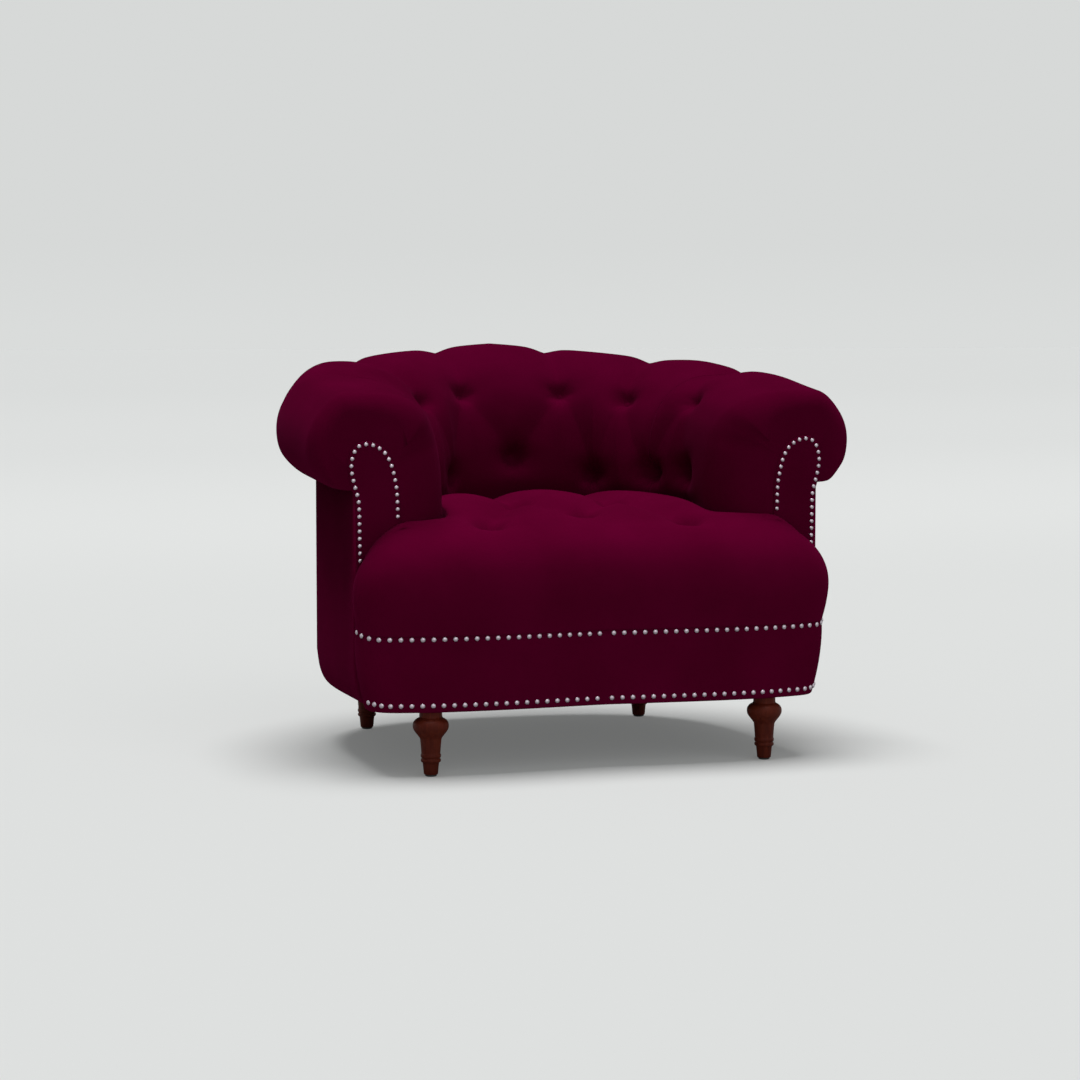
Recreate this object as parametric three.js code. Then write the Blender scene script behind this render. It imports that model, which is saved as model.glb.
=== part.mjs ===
// A low chesterfield armchair in burgundy velvet: a horseshoe of deep-tufted back and rolled arms
// around a tight tufted seat, with nail trim and four turned legs.
// Millimetres. The chair faces -Y and stands on z = 0, and x = 0 is its plane of symmetry.
import * as THREE from "three";

// Overall size
const overallDepth = 820;
const overallHeight = 746;
const contactGap = 0.3;
const seatClearance = 1.5;
const seatWallGap = 0.9;

// Shell: the plan line of the outside panels, straight at the sides and bowed round the back
const shellHalfWidth = 434;
const sideStraight = 277;
const shellSquareness = 2.65;
const facingSetback = 109;
const shellFoot = 114;
const panelThickness = 8;
const frameThickness = 19;
const seamStation = 577;
const seamGap = 0.8;

// Pads: the stuffed inside of the arms and back, and the roll that they end in
const padDepth = 184;
const padCornerDepth = 55;
const padCornerStation = 390;
const padCornerSpread = 230;
const crestInset = 8;
const crestCornerInset = 34;
const crestCornerStation = 353;
const crestCornerSpread = 130;
const rollReach = 80;
const rollArmSwell = 4;
const rollArmStation = 700;
const rollArmSpread = 120;
const rollDrop = 198;
const crestFall = 85;
const crestArmRise = 5.3;
const undersideFall = 52;
const fallCurve = 1.1;
const undersideCurve = 1.2;
const endRoundLength = 105;
const endRoundInside = 100;
const endRoundTop = 30;
const endRoundTopLength = 28;
const endRoundOutside = 34;
const endRoundOutsideLength = 64;

// Tufting of the back, by station along the shell from the middle of the back, and by height
const topTuftStations = [120, 388, 586];
const topTuftHeights = [660, 652, 660];
const lowTuftStations = [0, 219, 578, 700];
const lowTuftHeights = [542, 513, 504, 514];
const crestPleatStations = [113, 343, 569];
const backTuftDepth = 34;
const backTuftRadius = 34;
const backPleatDepth = 11;
const backPleatRadius = 20;

// Seat: one tight cushion that fills the space between the arms and spreads in front of them
const seatFoot = 248;
const seatWaist = 281;
const seatWaistShare = 0.67;
const seatWidestHeight = 315;
const seatBulge = 12;
const seatCrownShare = 0.4558;
const seatCrownSetback = 377;
const seatFrontFall = 26;
const seatRearFall = 24;
const seatSideFall = 28;
const seatShoulderX = 352;
const seatShoulderSetback = 92;
const seatEdgeRound = 14;
const seatWallHalf = 429;
const seatCornerEase = 28;
const seatWideSpan = 400;
const seatNarrowSpan = 246;
const seatBlendSetback = 187;
const seatTuftPlaces = [
  [-191, 77],
  [0, 127],
  [191, 77],
  [-92, 272],
  [92, 272],
];
const seatTuftDepth = 27;
const seatTuftRadius = 38;
const seatPleatDepth = 11;
const seatPleatRadius = 20;
const seatPleatRearSetback = 545;
const seatPleatRearX = 84;
const seatPleatArmX = 262;
const seatPleatArmSetback = 190;

// Front border: the band between the two nail rows
const borderTop = 247.7;
const borderRake = 12.6;
const borderCornerRake = 18;
const borderCornerStation = 380;
const borderCornerLength = 70;
const borderThickness = 8;

// Nail trim
const baseNailPitch = 19;
const baseNailStart = 13;
const baseNailRadius = 4.5;
const baseNailDome = 2.8;
const upperNailHeight = 242.7;
const upperNailCount = 25;
const lowerNailHeight = 126.4;
const lowerNailCount = 24;
const armNailRadius = 3.8;
const armNailDome = 2.4;
const armNailCount = 30;
const nailLinkShare = 0.2;

// Arm facing: the flat panel on the arm's front, inside its arch of nails
const facingInner = 355;
const facingOuter = 424;
const facingRise = 80;
const facingFootShare = 0.634;
const facingMargin = 6;
const facingThickness = 4;
const facingTail = 150;

// Frame of hardwood and ply
const railTop = 225;
const railFoot = 170;
const railEase = 1.2;
const armRailHeight = 46;
const postLength = 62;
const postEase = 1;
const uprightWidth = 58;
const uprightStation = 330;
const blockWidth = 60;
const blockLength = 66;
const blockHeight = 47;
const blockFrontLead = 9;
const blockRearLead = 7;

// Seat suspension
const springWire = 3.8;
const springSpacing = 92;
const springHalfWidth = 20;
const springBends = 16;
const springArch = 3.5;
const clipWidth = 12;
const clipHeight = 4;
const clipSteps = 12;
const matHalfWidth = 226;
const matFrontSetback = 70;
const matRearSetback = 278;

// Underside and legs
const coverThickness = 1.5;
const coverHeight = 115;
const lipReachArm = 34;
const lipReachRear = 16;
const lipRearStation = 400;
const lipArmStation = 560;
const legX = 312;
const legSetback = 57;
const rearLegStation = 321;
const rearLegOffset = 37;
const legBallRadius = 31.5;
const boltRadius = 4;
const boltEmbed = 32;
const boltRise = 40;
const glideRadius = 10.5;
const glideHeight = 3;
const glideFootShare = 0.8;

// Places worked out from the sizes
const frontPlane = -overallDepth / 2;
const facingY = frontPlane + facingSetback;
const bowY = frontPlane + sideStraight;
const bowReach = overallDepth / 2 - (rollReach - crestInset) - bowY;
const panelY = frontPlane + seatBulge;
const padEndY = facingY + facingThickness + contactGap;
const frameInset = panelThickness + frameThickness;
const seatCrownY = frontPlane + seatCrownSetback;
const seatCrown = seatFoot + (overallHeight - seatFoot) * seatCrownShare;
const blockFoot = coverHeight + coverThickness + contactGap;

const materials = {
  velvet: { color: 0x4a001d, roughness: 0.85, metalness: 0 },
  ply: { color: 0xc9a26b, roughness: 0.7, metalness: 0 },
  mahogany: { color: 0x5a2018, roughness: 0.45, metalness: 0 },
  nail: { color: 0xa9a3ae, roughness: 0.35, metalness: 1 },
  steel: { color: 0x85878a, roughness: 0.4, metalness: 1 },
  felt: { color: 0x8d8678, roughness: 0.95, metalness: 0 },
  cambric: { color: 0x1c1b1d, roughness: 0.95, metalness: 0 },
  nylon: { color: 0x2b2a2a, roughness: 0.5, metalness: 0 },
};

const roundSteps = 8;

const sides = [
  [-1, "left"],
  [1, "right"],
];

const chair = new THREE.Group();

function addPiece(name, geometry, finish) {
  const mesh = new THREE.Mesh(geometry, new THREE.MeshStandardMaterial(materials[finish]));
  mesh.name = name;
  chair.add(mesh);
}

const clamp01 = (value) => Math.min(Math.max(value, 0), 1);
const smooth = (value) => THREE.MathUtils.smoothstep(value, 0, 1);
const bell = (distance, spread) => Math.exp(-((distance / spread) ** 2));
const plateau = (distance, spread) => Math.exp(-((distance / spread) ** 4));
const range = (count) => Array.from({ length: count }, (unused, index) => index);
const shareOf = (low, high, share) => low + (high - low) * share;

// Triangles between rings of matching points
function sideFaces(ringCount, width) {
  return range(ringCount - 1).flatMap((row) =>
    range(width).flatMap((column) => {
      const a = row * width + column;
      const b = row * width + ((column + 1) % width);
      return [
        [a, b, b + width],
        [a, b + width, a + width],
      ];
    }),
  );
}

const capFaces = (outline) => THREE.ShapeUtils.triangulateShape(outline, []);
const flipped = ([a, b, c]) => [a, c, b];

// A closed solid from rings of matching points, its two ends closed by the flat outlines given
function loft(rings, firstOutline, lastOutline) {
  const width = rings[0].length;
  const lastRow = (rings.length - 1) * width;
  const firstCap = capFaces(firstOutline).map(flipped);
  const lastCap = capFaces(lastOutline).map((face) => face.map((index) => lastRow + index));
  const positions = rings.flat().flatMap((point) => point.toArray());
  return solidFrom(positions, [...sideFaces(rings.length, width), ...firstCap, ...lastCap]);
}

// An end outline is mirrored where it runs clockwise, so that its points keep their order
function outlineOf(points) {
  if (!THREE.ShapeUtils.isClockWise(points)) return points;
  return points.map((point) => new THREE.Vector2(-point.x, point.y));
}

const sectionPoints = (section) => section.map(([out, height]) => new THREE.Vector2(out, height));
const sectionOutline = (section) => outlineOf(sectionPoints(section));

// Faces are turned round together where they enclose a negative volume
function solidFrom(positions, faces) {
  const corner = (index) => new THREE.Vector3().fromArray(positions, index * 3);
  let volume = 0;
  for (const [a, b, c] of faces) volume += corner(a).dot(corner(b).cross(corner(c)));
  const outward = volume < 0 ? faces.map(([a, b, c]) => [a, c, b]) : faces;
  const geometry = new THREE.BufferGeometry();
  geometry.setAttribute("position", new THREE.Float32BufferAttribute(positions, 3));
  geometry.setIndex(outward.flat());
  geometry.computeVertexNormals();
  return geometry;
}

const extruded = (shape, depth) =>
  new THREE.ExtrudeGeometry(shape, { depth, bevelEnabled: false, curveSegments: roundSteps });

// Shell plan: straight sides, then a squared ellipse round the back; stations run from its middle
class ShellPlan extends THREE.Curve {
  getPoint(t) {
    const straight = bowY - facingY;
    const span = straight + shellHalfWidth + bowReach;
    const along = Math.abs(2 * t - 1) * span;
    const side = Math.sign(2 * t - 1);
    const bow = span - straight;
    if (along > bow) return new THREE.Vector3(side * shellHalfWidth, bowY - (along - bow), 0);
    const angle = ((along / bow) * Math.PI) / 2;
    const acrossShare = (Math.sin(angle) / shellHalfWidth) ** shellSquareness;
    const awayShare = (Math.cos(angle) / bowReach) ** shellSquareness;
    const radius = (acrossShare + awayShare) ** (-1 / shellSquareness);
    return new THREE.Vector3(side * radius * Math.sin(angle), bowY + radius * Math.cos(angle), 0);
  }
}

// Front plan: shares of the shell's half width, and of the way from the facing to the front panel
const frontPlanShares = [
  [0, 0.866],
  [0.138, 0.905],
  [0.276, 0.951],
  [0.415, 0.982],
  [0.553, 0.99],
  [0.691, 0.956],
  [0.795, 0.878],
  [0.876, 0.79],
  [0.936, 0.68],
  [0.974, 0.515],
  [0.994, 0.335],
  [1, 0.165],
  [1, 0],
];

function frontPlanPoints() {
  const right = frontPlanShares.map(
    ([across, ahead]) =>
      new THREE.Vector2(across * shellHalfWidth, shareOf(facingY, panelY, ahead)),
  );
  const left = right.slice(1).map((point) => new THREE.Vector2(-point.x, point.y));
  return [...left.reverse(), ...right];
}

const planDivisions = 600;
const shellPlan = new ShellPlan();
shellPlan.arcLengthDivisions = planDivisions;
const frontPlan = new THREE.SplineCurve(frontPlanPoints());
frontPlan.arcLengthDivisions = planDivisions;
const shellHalfLength = shellPlan.getLength() / 2;
const frontHalfLength = frontPlan.getLength() / 2;

// The point at a station of a plan line, moved out from it by an offset
function planPoint(plan, halfLength, turn, station, offset, height) {
  const share = clamp01((station / halfLength + 1) / 2);
  const point = plan.getPointAt(share);
  const tangent = plan.getTangentAt(share);
  return new THREE.Vector3(
    point.x - tangent.y * offset * turn,
    point.y + tangent.x * offset * turn,
    height,
  );
}
const shellPoint = (station, offset, height) =>
  planPoint(shellPlan, shellHalfLength, 1, station, offset, height);
const frontPoint = (station, offset, height) =>
  planPoint(frontPlan, frontHalfLength, -1, station, offset, height);
const stationOfSide = (y) => shellHalfLength - (y - facingY);

// Stations between two ends, at even steps
const stationsBetween = (first, last, steps) =>
  range(steps + 1).map((step) => shareOf(first, last, step / steps));

// A solid swept along the shell through stations, from the section of offsets and heights at each
function sweepSections(sectionAt, stations) {
  const rings = stations.map((station) =>
    sectionAt(station).map(([offset, height]) => shellPoint(station, offset, height)),
  );
  const [first, last] = [stations[0], stations[stations.length - 1]];
  return loft(rings, sectionOutline(sectionAt(first)), sectionOutline(sectionAt(last)));
}

const sweepShell = (section, stations) => sweepSections(() => section, stations);

const blockSection = (offsetOut, offsetIn, foot, top) => [
  [offsetOut, foot],
  [offsetOut, top],
  [offsetIn, top],
  [offsetIn, foot],
];

// Pad section: shares of the pad's depth inwards, and of the height from the foot to the crest
const insideShares = [
  [-1, 0],
  [-1, 0.2],
  [-1, 0.4],
  [-0.997, 0.54],
  [-0.97, 0.65],
  [-0.908, 0.75],
  [-0.794, 0.84],
  [-0.602, 0.92],
  [-0.325, 0.98],
  [0, 1],
];

// Roll section: shares of its reach outwards, and of the height from its underside to the crest
const rollShares = [
  [0.42, 0.96],
  [0.77, 0.79],
  [0.97, 0.61],
  [1, 0.41],
  [0.95, 0.22],
  [0.71, 0.075],
  [0.44, 0],
];
const skinSteps = 25;
const insideShare = 0.3;
const crestShare = 0.53;
const undersideShare = 0.25;

const alongShell = (station) => Math.min(Math.abs(station) / shellHalfLength, 1);
const armSwell = (station) => bell(Math.abs(station) - rollArmStation, rollArmSpread);
const crestHeight = (station) =>
  overallHeight - crestFall * alongShell(station) ** fallCurve + crestArmRise * armSwell(station);
const undersideHeight = (station) =>
  overallHeight - rollDrop - undersideFall * alongShell(station) ** undersideCurve;
const crestOffset = (station) =>
  -crestInset - crestCornerInset * bell(Math.abs(station) - crestCornerStation, crestCornerSpread);
const padInside = (station) =>
  padDepth + padCornerDepth * plateau(Math.abs(station) - padCornerStation, padCornerSpread);
const rollOutside = (station) => rollReach + rollArmSwell * armSwell(station);

// The stuffed skin of the pad at a station, as a smooth curve of offsets and heights
function padSkin(station) {
  const crest = crestHeight(station);
  const crestAt = crestOffset(station);
  const inside = padInside(station) + crestAt;
  const underside = undersideHeight(station);
  const points = [
    ...insideShares.map(([reach, rise]) => [crestAt + reach * inside, shareOf(seatFoot, crest, rise)]),
    ...rollShares.map(([reach, rise]) => [
      crestAt + reach * rollOutside(station),
      shareOf(underside, crest, rise),
    ]),
    [0, underside],
  ].map(([offset, height]) => new THREE.Vector2(offset, height));
  const curve = new THREE.SplineCurve(points);
  return range(skinSteps + 1).map((step) => curve.getPoint(step / skinSteps));
}

const skinPoint = (station, step) => {
  const point = padSkin(station)[step];
  return shellPoint(station, point.x, point.y);
};

// The step of the skin that lies nearest a height on the pad's inner face
function stepAtHeight(station, height) {
  const skin = padSkin(station);
  const inner = skin.slice(0, Math.round(skinSteps / 2));
  const gaps = inner.map((point) => Math.abs(point.y - height));
  return gaps.indexOf(Math.min(...gaps));
}

// Tufts are pulled in at their stations, and pleats run between them and over the roll
const mirrored = (stations, heights) =>
  stations.flatMap((station, index) => {
    const both = station === 0 ? [station] : [-station, station];
    return both.map((signed) => ({ station: signed, height: heights[index] }));
  });
const topTufts = mirrored(topTuftStations, topTuftHeights);
const lowTufts = mirrored(lowTuftStations, lowTuftHeights);
const place = (tuft) => ({ ...tuft, step: stepAtHeight(tuft.station, tuft.height) });
const allTufts = [...topTufts, ...lowTufts].map(place);

function pleatLine(first, last, divisions) {
  return range(divisions + 1).map((index) => {
    const share = index / divisions;
    const station = shareOf(first.station, last.station, share);
    return skinPoint(station, Math.round(shareOf(first.step, last.step, share)));
  });
}

function backPleats() {
  const lines = [];
  const diagonals = 6;
  for (const side of [-1, 1]) {
    topTuftStations.forEach((station, index) => {
      const top = place({ station: side * station, height: topTuftHeights[index] });
      for (const low of [index, index + 1]) {
        const tuft = { station: side * lowTuftStations[low], height: lowTuftHeights[low] };
        lines.push(pleatLine(top, place(tuft), diagonals));
      }
      const crest = { station: side * crestPleatStations[index], step: skinSteps / 2 };
      const tail = { station: side * crestPleatStations[index], step: skinSteps };
      lines.push(pleatLine(top, crest, diagonals), pleatLine(crest, tail, diagonals * 2));
    });
    lowTuftStations.forEach((station, index) => {
      const low = place({ station: side * station, height: lowTuftHeights[index] });
      lines.push(pleatLine(low, { station: low.station, step: 0 }, diagonals));
    });
  }
  return lines;
}

function distanceToLine(point, line) {
  const segment = new THREE.Line3();
  const nearest = new THREE.Vector3();
  let least = Infinity;
  for (let index = 0; index + 1 < line.length; index += 1) {
    segment.set(line[index], line[index + 1]).closestPointToPoint(point, true, nearest);
    least = Math.min(least, nearest.distanceTo(point));
  }
  return least;
}

const tuftPoints = allTufts.map((tuft) => skinPoint(tuft.station, tuft.step));
const pleatLines = backPleats();

function padSink(point) {
  const tuftSink = Math.max(...tuftPoints.map((tuft) => bell(point.distanceTo(tuft), backTuftRadius)));
  const pleatSink = Math.max(
    ...pleatLines.map((line) => bell(distanceToLine(point, line), backPleatRadius)),
  );
  return Math.max(backTuftDepth * tuftSink, backPleatDepth * pleatSink);
}

// A value of the arm's rounded end at a step of the skin, from its values inside, on top and outside
function endValue(step, inside, top, outside) {
  const share = step / skinSteps;
  if (share < crestShare) {
    return shareOf(inside, top, smooth((share - insideShare) / (crestShare - insideShare)));
  }
  return shareOf(top, outside, smooth((share - crestShare) / crestShare));
}

// How far one point of the skin is drawn in at a distance from the arm's end: a quarter of an ellipse
function endSink(step, distance) {
  const depth = endValue(step, endRoundInside, endRoundTop, endRoundOutside);
  const length = endValue(step, endRoundLength, endRoundTopLength, endRoundOutsideLength);
  return depth * (1 - Math.sqrt(1 - (1 - clamp01(distance / length)) ** 2));
}

// One ring of a pad: the skin drawn in at its tufts and at the arm's rounded end, then the hidden side
function padRing(station) {
  const skin = padSkin(station);
  const underside = undersideHeight(station);
  const drawnIn = skin.map((point, step) => {
    const before = skin[Math.max(step - 1, 0)];
    const after = skin[Math.min(step + 1, skinSteps)];
    const along = after.clone().sub(before).normalize();
    const open = smooth((skinSteps - step) / (skinSteps * undersideShare));
    const clear = smooth((point.y - seatFoot) / (seatCrown - seatFoot));
    const tufted = padSink(shellPoint(station, point.x, point.y)) * clear;
    const sink = (tufted + endSink(step, armEnd - Math.abs(station))) * open;
    return point.clone().add(new THREE.Vector2(along.y, -along.x).multiplyScalar(sink));
  });
  const backOffset = -frameInset - contactGap;
  const hidden = [
    new THREE.Vector2(backOffset, underside),
    new THREE.Vector2(backOffset, (seatFoot + underside) / 2),
    new THREE.Vector2(backOffset, seatFoot),
  ];
  return { section: [...drawnIn, ...hidden], station };
}

function padSolid(ringList, side) {
  const rings = ringList.map(({ section, station }) =>
    section.map((point) => shellPoint(side * station, point.x, point.y)),
  );
  const [first, last] = [ringList[0], ringList[ringList.length - 1]];
  return loft(rings, outlineOf(first.section), outlineOf(last.section));
}

// The back's pieces share their stations, and so do the pieces of each arm
const backSteps = 38;
const seamEdge = seamStation - seamGap / 2;
const backStations = stationsBetween(-seamEdge, seamEdge, backSteps);

function buildBackPad() {
  const rings = backStations.map(padRing);
  addPiece("back_pad", padSolid(rings, 1), "velvet");
}

const armEndTurns = 6;
const armEnd = stationOfSide(padEndY);
const roundStart = armEnd - endRoundLength;
const endTurns = range(armEndTurns).map((turn) => {
  const angle = (((turn + 1) / armEndTurns) * Math.PI) / 2;
  return { station: roundStart + endRoundLength * Math.sin(angle), share: 1 - Math.cos(angle) };
});

const armBodySteps = 8;
const armStations = stationsBetween(seamStation + seamGap / 2, roundStart, armBodySteps);
const armFullStations = [...armStations, armEnd];

const armPadRings = () => [...armStations, ...endTurns.map(({ station }) => station)].map(padRing);

// Seat cushion: an outer loop at its widest line, an inner loop where its top begins, and rows across
const seatColumns = 24;
const seatSideRows = 11;
const seatRearStation = 250;

// Seat shoulder: shares of the way in from the widest line, and of the way up to the top
const seatShoulderShares = [
  [0.03, 0.28],
  [0.13, 0.52],
  [0.32, 0.725],
  [0.62, 0.885],
  [1, 1],
];

function seatTop(x, y) {
  const ahead = clamp01((seatCrownY - y) / (seatCrownY - frontPlane - seatShoulderSetback));
  const behind = clamp01((y - seatCrownY) / (bowY + bowReach - padDepth - seatCrownY));
  const blend = smooth((y - facingY) / (frontPlane + seatBlendSetback - facingY));
  const span = shareOf(seatWideSpan, seatNarrowSpan, blend);
  const sideFall = seatSideFall * (Math.abs(x) / span) ** 3;
  return seatCrown - seatFrontFall * ahead ** 2 - seatRearFall * behind ** 2 - sideFall;
}

const seatTufts = seatTuftPlaces.map(([x, setback]) => new THREE.Vector3(x, frontPlane + setback, 0));

function seatPleats() {
  const [leftFront, middleFront, rightFront, leftRear, rightRear] = seatTufts;
  const rearY = frontPlane + seatPleatRearSetback;
  const armY = frontPlane + seatPleatArmSetback;
  return [
    [middleFront, leftRear],
    [middleFront, rightRear],
    [leftFront, leftRear],
    [rightFront, rightRear],
    [leftRear, new THREE.Vector3(-seatPleatRearX, rearY, 0)],
    [rightRear, new THREE.Vector3(seatPleatRearX, rearY, 0)],
    [leftFront, new THREE.Vector3(-seatPleatArmX, armY, 0)],
    [rightFront, new THREE.Vector3(seatPleatArmX, armY, 0)],
  ];
}
const seatPleatLines = seatPleats();

function seatSink(x, y) {
  const point = new THREE.Vector3(x, y, 0);
  const tuftSink = Math.max(...seatTufts.map((tuft) => bell(point.distanceTo(tuft), seatTuftRadius)));
  const pleatSink = Math.max(
    ...seatPleatLines.map((line) => bell(distanceToLine(point, line), seatPleatRadius)),
  );
  return Math.max(seatTuftDepth * tuftSink, seatPleatDepth * pleatSink);
}

// A point of the seat's side: clear of the pad by one gap, and round the arm's end with it
function seatSidePoint(station, inset, endShare) {
  const padFace = endRoundInside * endShare - padInside(station);
  return shellPoint(station, padFace - seatClearance - inset, 0);
}

// The loop's four runs: front, right side, rear and left side, each as pairs of outer and inner points
function seatLoop() {
  const wallY = facingY - seatWallGap;
  const front = range(seatColumns + 1).map((column) => {
    const share = (2 * column) / seatColumns - 1;
    const station = share * (frontHalfLength - seatWallGap);
    const ease = smooth((frontHalfLength - Math.abs(station)) / seatCornerEase);
    const bulge = shareOf(seatWallHalf - shellHalfWidth, seatBulge, ease);
    const inner = new THREE.Vector3(share * seatShoulderX, frontPlane + seatShoulderSetback, 0);
    return { outer: frontPoint(station, 0, 0), wide: frontPoint(station, bulge, 0), inner };
  });
  const pairAt = (station, endShare) => {
    const outer = seatSidePoint(station, 0, endShare);
    return { outer, wide: outer, inner: seatSidePoint(station, seatEdgeRound, endShare) };
  };
  const turns = [...endTurns].reverse().map(({ station, share }) => pairAt(station, share));
  const side = range(seatSideRows + 1).map((row) =>
    pairAt(shareOf(roundStart, seatRearStation, row / seatSideRows), 0),
  );
  const wallAt = (x, shoulderX) => {
    const outer = new THREE.Vector3(x, wallY, 0);
    return { outer, wide: outer, inner: new THREE.Vector3(shoulderX, wallY, 0) };
  };
  const cornerX = turns[0].outer.x - contactGap;
  const walls = [wallAt(seatWallHalf, seatShoulderX), wallAt(cornerX, cornerX - contactGap)];
  const rear = range(seatColumns - 1).map((column) =>
    pairAt(shareOf(seatRearStation, -seatRearStation, (column + 1) / seatColumns), 0),
  );
  const flip = (point) => new THREE.Vector3(-point.x, point.y, 0);
  const mirror = ({ outer, wide, inner }) => ({
    outer: flip(outer),
    wide: flip(wide),
    inner: flip(inner),
  });
  const right = [...walls, ...turns, ...side];
  const left = right.map(mirror).reverse();
  return { front, right, rear, left };
}

function buildSeat() {
  const { front, right, rear, left } = seatLoop();
  const loop = [...front, ...right, ...rear, ...left];
  const at = (points, height) => points.map((point) => new THREE.Vector3(point.x, point.y, height));
  const between = (a, b, share) => a.map((point, index) => point.clone().lerp(b[index], share));
  const outers = loop.map(({ outer }) => outer);
  const wides = loop.map(({ wide }) => wide);
  const inners = loop.map(({ inner }) => inner);
  const rings = [
    at(outers, seatFoot),
    at(between(outers, wides, seatWaistShare), seatWaist),
    at(wides, seatWidestHeight),
  ];
  for (const [inShare, upShare] of seatShoulderShares) {
    const ring = between(wides, inners, inShare);
    rings.push(
      ring.map((point) => {
        const height = shareOf(seatWidestHeight, seatTop(point.x, point.y), upShare);
        return new THREE.Vector3(point.x, point.y, height - seatSink(point.x, point.y) * inShare);
      }),
    );
  }
  const positions = rings.flat().flatMap((point) => point.toArray());
  const foot = outlineOf(rings[0].map((point) => new THREE.Vector2(point.x, point.y)));
  const faces = [...sideFaces(rings.length, loop.length), ...capFaces(foot).map(flipped)];
  fillSeatTop(positions, faces, (rings.length - 1) * loop.length, { front, right, rear, left });
  addPiece("seat_cushion", solidFrom(positions, faces), "velvet");
}

// The top inside the last ring: rows from the left side's points to the right side's
function fillSeatTop(positions, faces, ringStart, { front, right, rear, left }) {
  const ringSize = front.length + right.length + rear.length + left.length;
  const rightStart = ringStart + front.length;
  const rearStart = rightStart + right.length;
  const leftEnd = ringStart + ringSize - 1;
  const rows = [range(front.length).map((column) => ringStart + column)];
  right.slice(0, -1).forEach((edge, row) => {
    const leftIndex = leftEnd - row;
    const rightIndex = rightStart + row;
    const bow = smooth(row / right.length);
    const inside = range(seatColumns - 1).map((column) => {
      const share = (column + 1) / seatColumns;
      const rearPoint = rear[rear.length - 1 - column].inner;
      const x = edge.inner.x * (2 * share - 1);
      const bowed = edge.inner.y + (rearPoint.y - right[right.length - 1].inner.y) * bow;
      positions.push(x, bowed, seatTop(x, bowed) - seatSink(x, bowed));
      return positions.length / 3 - 1;
    });
    rows.push([leftIndex, ...inside, rightIndex]);
  });
  const rearRow = range(rear.length).map((column) => rearStart + rear.length - 1 - column);
  rows.push([leftEnd - right.length + 1, ...rearRow, rightStart + right.length - 1]);
  for (let row = 0; row + 1 < rows.length; row += 1) {
    for (let column = 0; column < seatColumns; column += 1) {
      const [a, b] = [rows[row][column], rows[row][column + 1]];
      const [d, c] = [rows[row + 1][column], rows[row + 1][column + 1]];
      faces.push([a, b, c], [a, c, d]);
    }
  }
}

// Outside panels: covered board whose lower edge rolls under
function lipReach(station) {
  const towardsArm = (Math.abs(station) - lipRearStation) / (lipArmStation - lipRearStation);
  return shareOf(lipReachRear, lipReachArm, smooth(towardsArm));
}

// Lower edge of a panel: shares of the lip's reach inwards, and of its height above the foot
const lipOutsideShares = [
  [0, 2],
  [0.15, 1],
  [0.45, 0.35],
  [1, 0],
];
const lipInsideShares = [
  [1, 0.14],
  [0.5, 0.85],
  [0, 1.6],
];

function panelSection(station) {
  const reach = lipReach(station);
  const top = undersideHeight(station) - contactGap;
  const outside = lipOutsideShares.map(([inward, up]) => [-reach * inward, shellFoot + reach * up]);
  const inside = lipInsideShares.map(([inward, up]) => [
    -shareOf(panelThickness, reach, inward),
    shellFoot + reach * up,
  ]);
  return [[0, top], ...outside, ...inside, [-panelThickness, top]];
}

function buildPanels() {
  addPiece("outside_back_panel", sweepSections(panelSection, backStations), "velvet");
  for (const [side, label] of sides) {
    const stations = armFullStations.map((station) => side * station);
    addPiece(`outside_arm_panel_${label}`, sweepSections(panelSection, stations), "velvet");
  }
}

// Front border: the raked, velvet-covered band that wraps the front rail
function borderInset(station, height) {
  const towardsCorner = smooth((Math.abs(station) - borderCornerStation) / borderCornerLength);
  const rake = shareOf(borderRake, borderCornerRake, towardsCorner);
  return (rake * (borderTop - height)) / (borderTop - shellFoot);
}

const borderPoint = (station, out, height) =>
  frontPoint(station, out - borderInset(station, height), height);

const borderSteps = 34;
const borderEnd = frontHalfLength - contactGap;
const borderStations = stationsBetween(-borderEnd, borderEnd, borderSteps);

function sweepBorder(section) {
  const outline = sectionOutline(section);
  const rings = borderStations.map((station) =>
    section.map(([out, height]) => borderPoint(station, out, height)),
  );
  return loft(rings, outline, outline);
}

function buildBorder() {
  const lip = borderThickness / 2;
  const section = [
    [0, borderTop],
    [0, shellFoot + lip],
    [-lip, shellFoot],
    [-borderThickness, shellFoot],
    [-borderThickness, borderTop],
  ];
  addPiece("front_border", sweepBorder(section), "velvet");
}

// Nail trim: a row of domed heads on one thin strip
function nailStrip(pointAt, places, radius, dome) {
  const rings = [];
  const stub = radius * nailLinkShare;
  for (const at of places) {
    for (const shift of [-1, 0, 1]) {
      const size = shift === 0 ? 1 : nailLinkShare;
      rings.push(pointAt(at + shift * (radius - stub / 2), radius * size, dome * size));
    }
  }
  const outline = sectionOutline([
    [0, 1],
    [1, 0],
    [0, -1],
  ]);
  return loft(rings, outline, outline);
}

function baseNailRow(height, count) {
  const half = range(count).map((index) => baseNailStart + index * baseNailPitch);
  const places = [...half.map((place) => -place).reverse(), ...half];
  const pointAt = (station, size, dome) => [
    borderPoint(station, contactGap, height + size),
    borderPoint(station, contactGap + dome, height),
    borderPoint(station, contactGap, height - size),
  ];
  return nailStrip(pointAt, places, baseNailRadius, baseNailDome);
}

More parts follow.
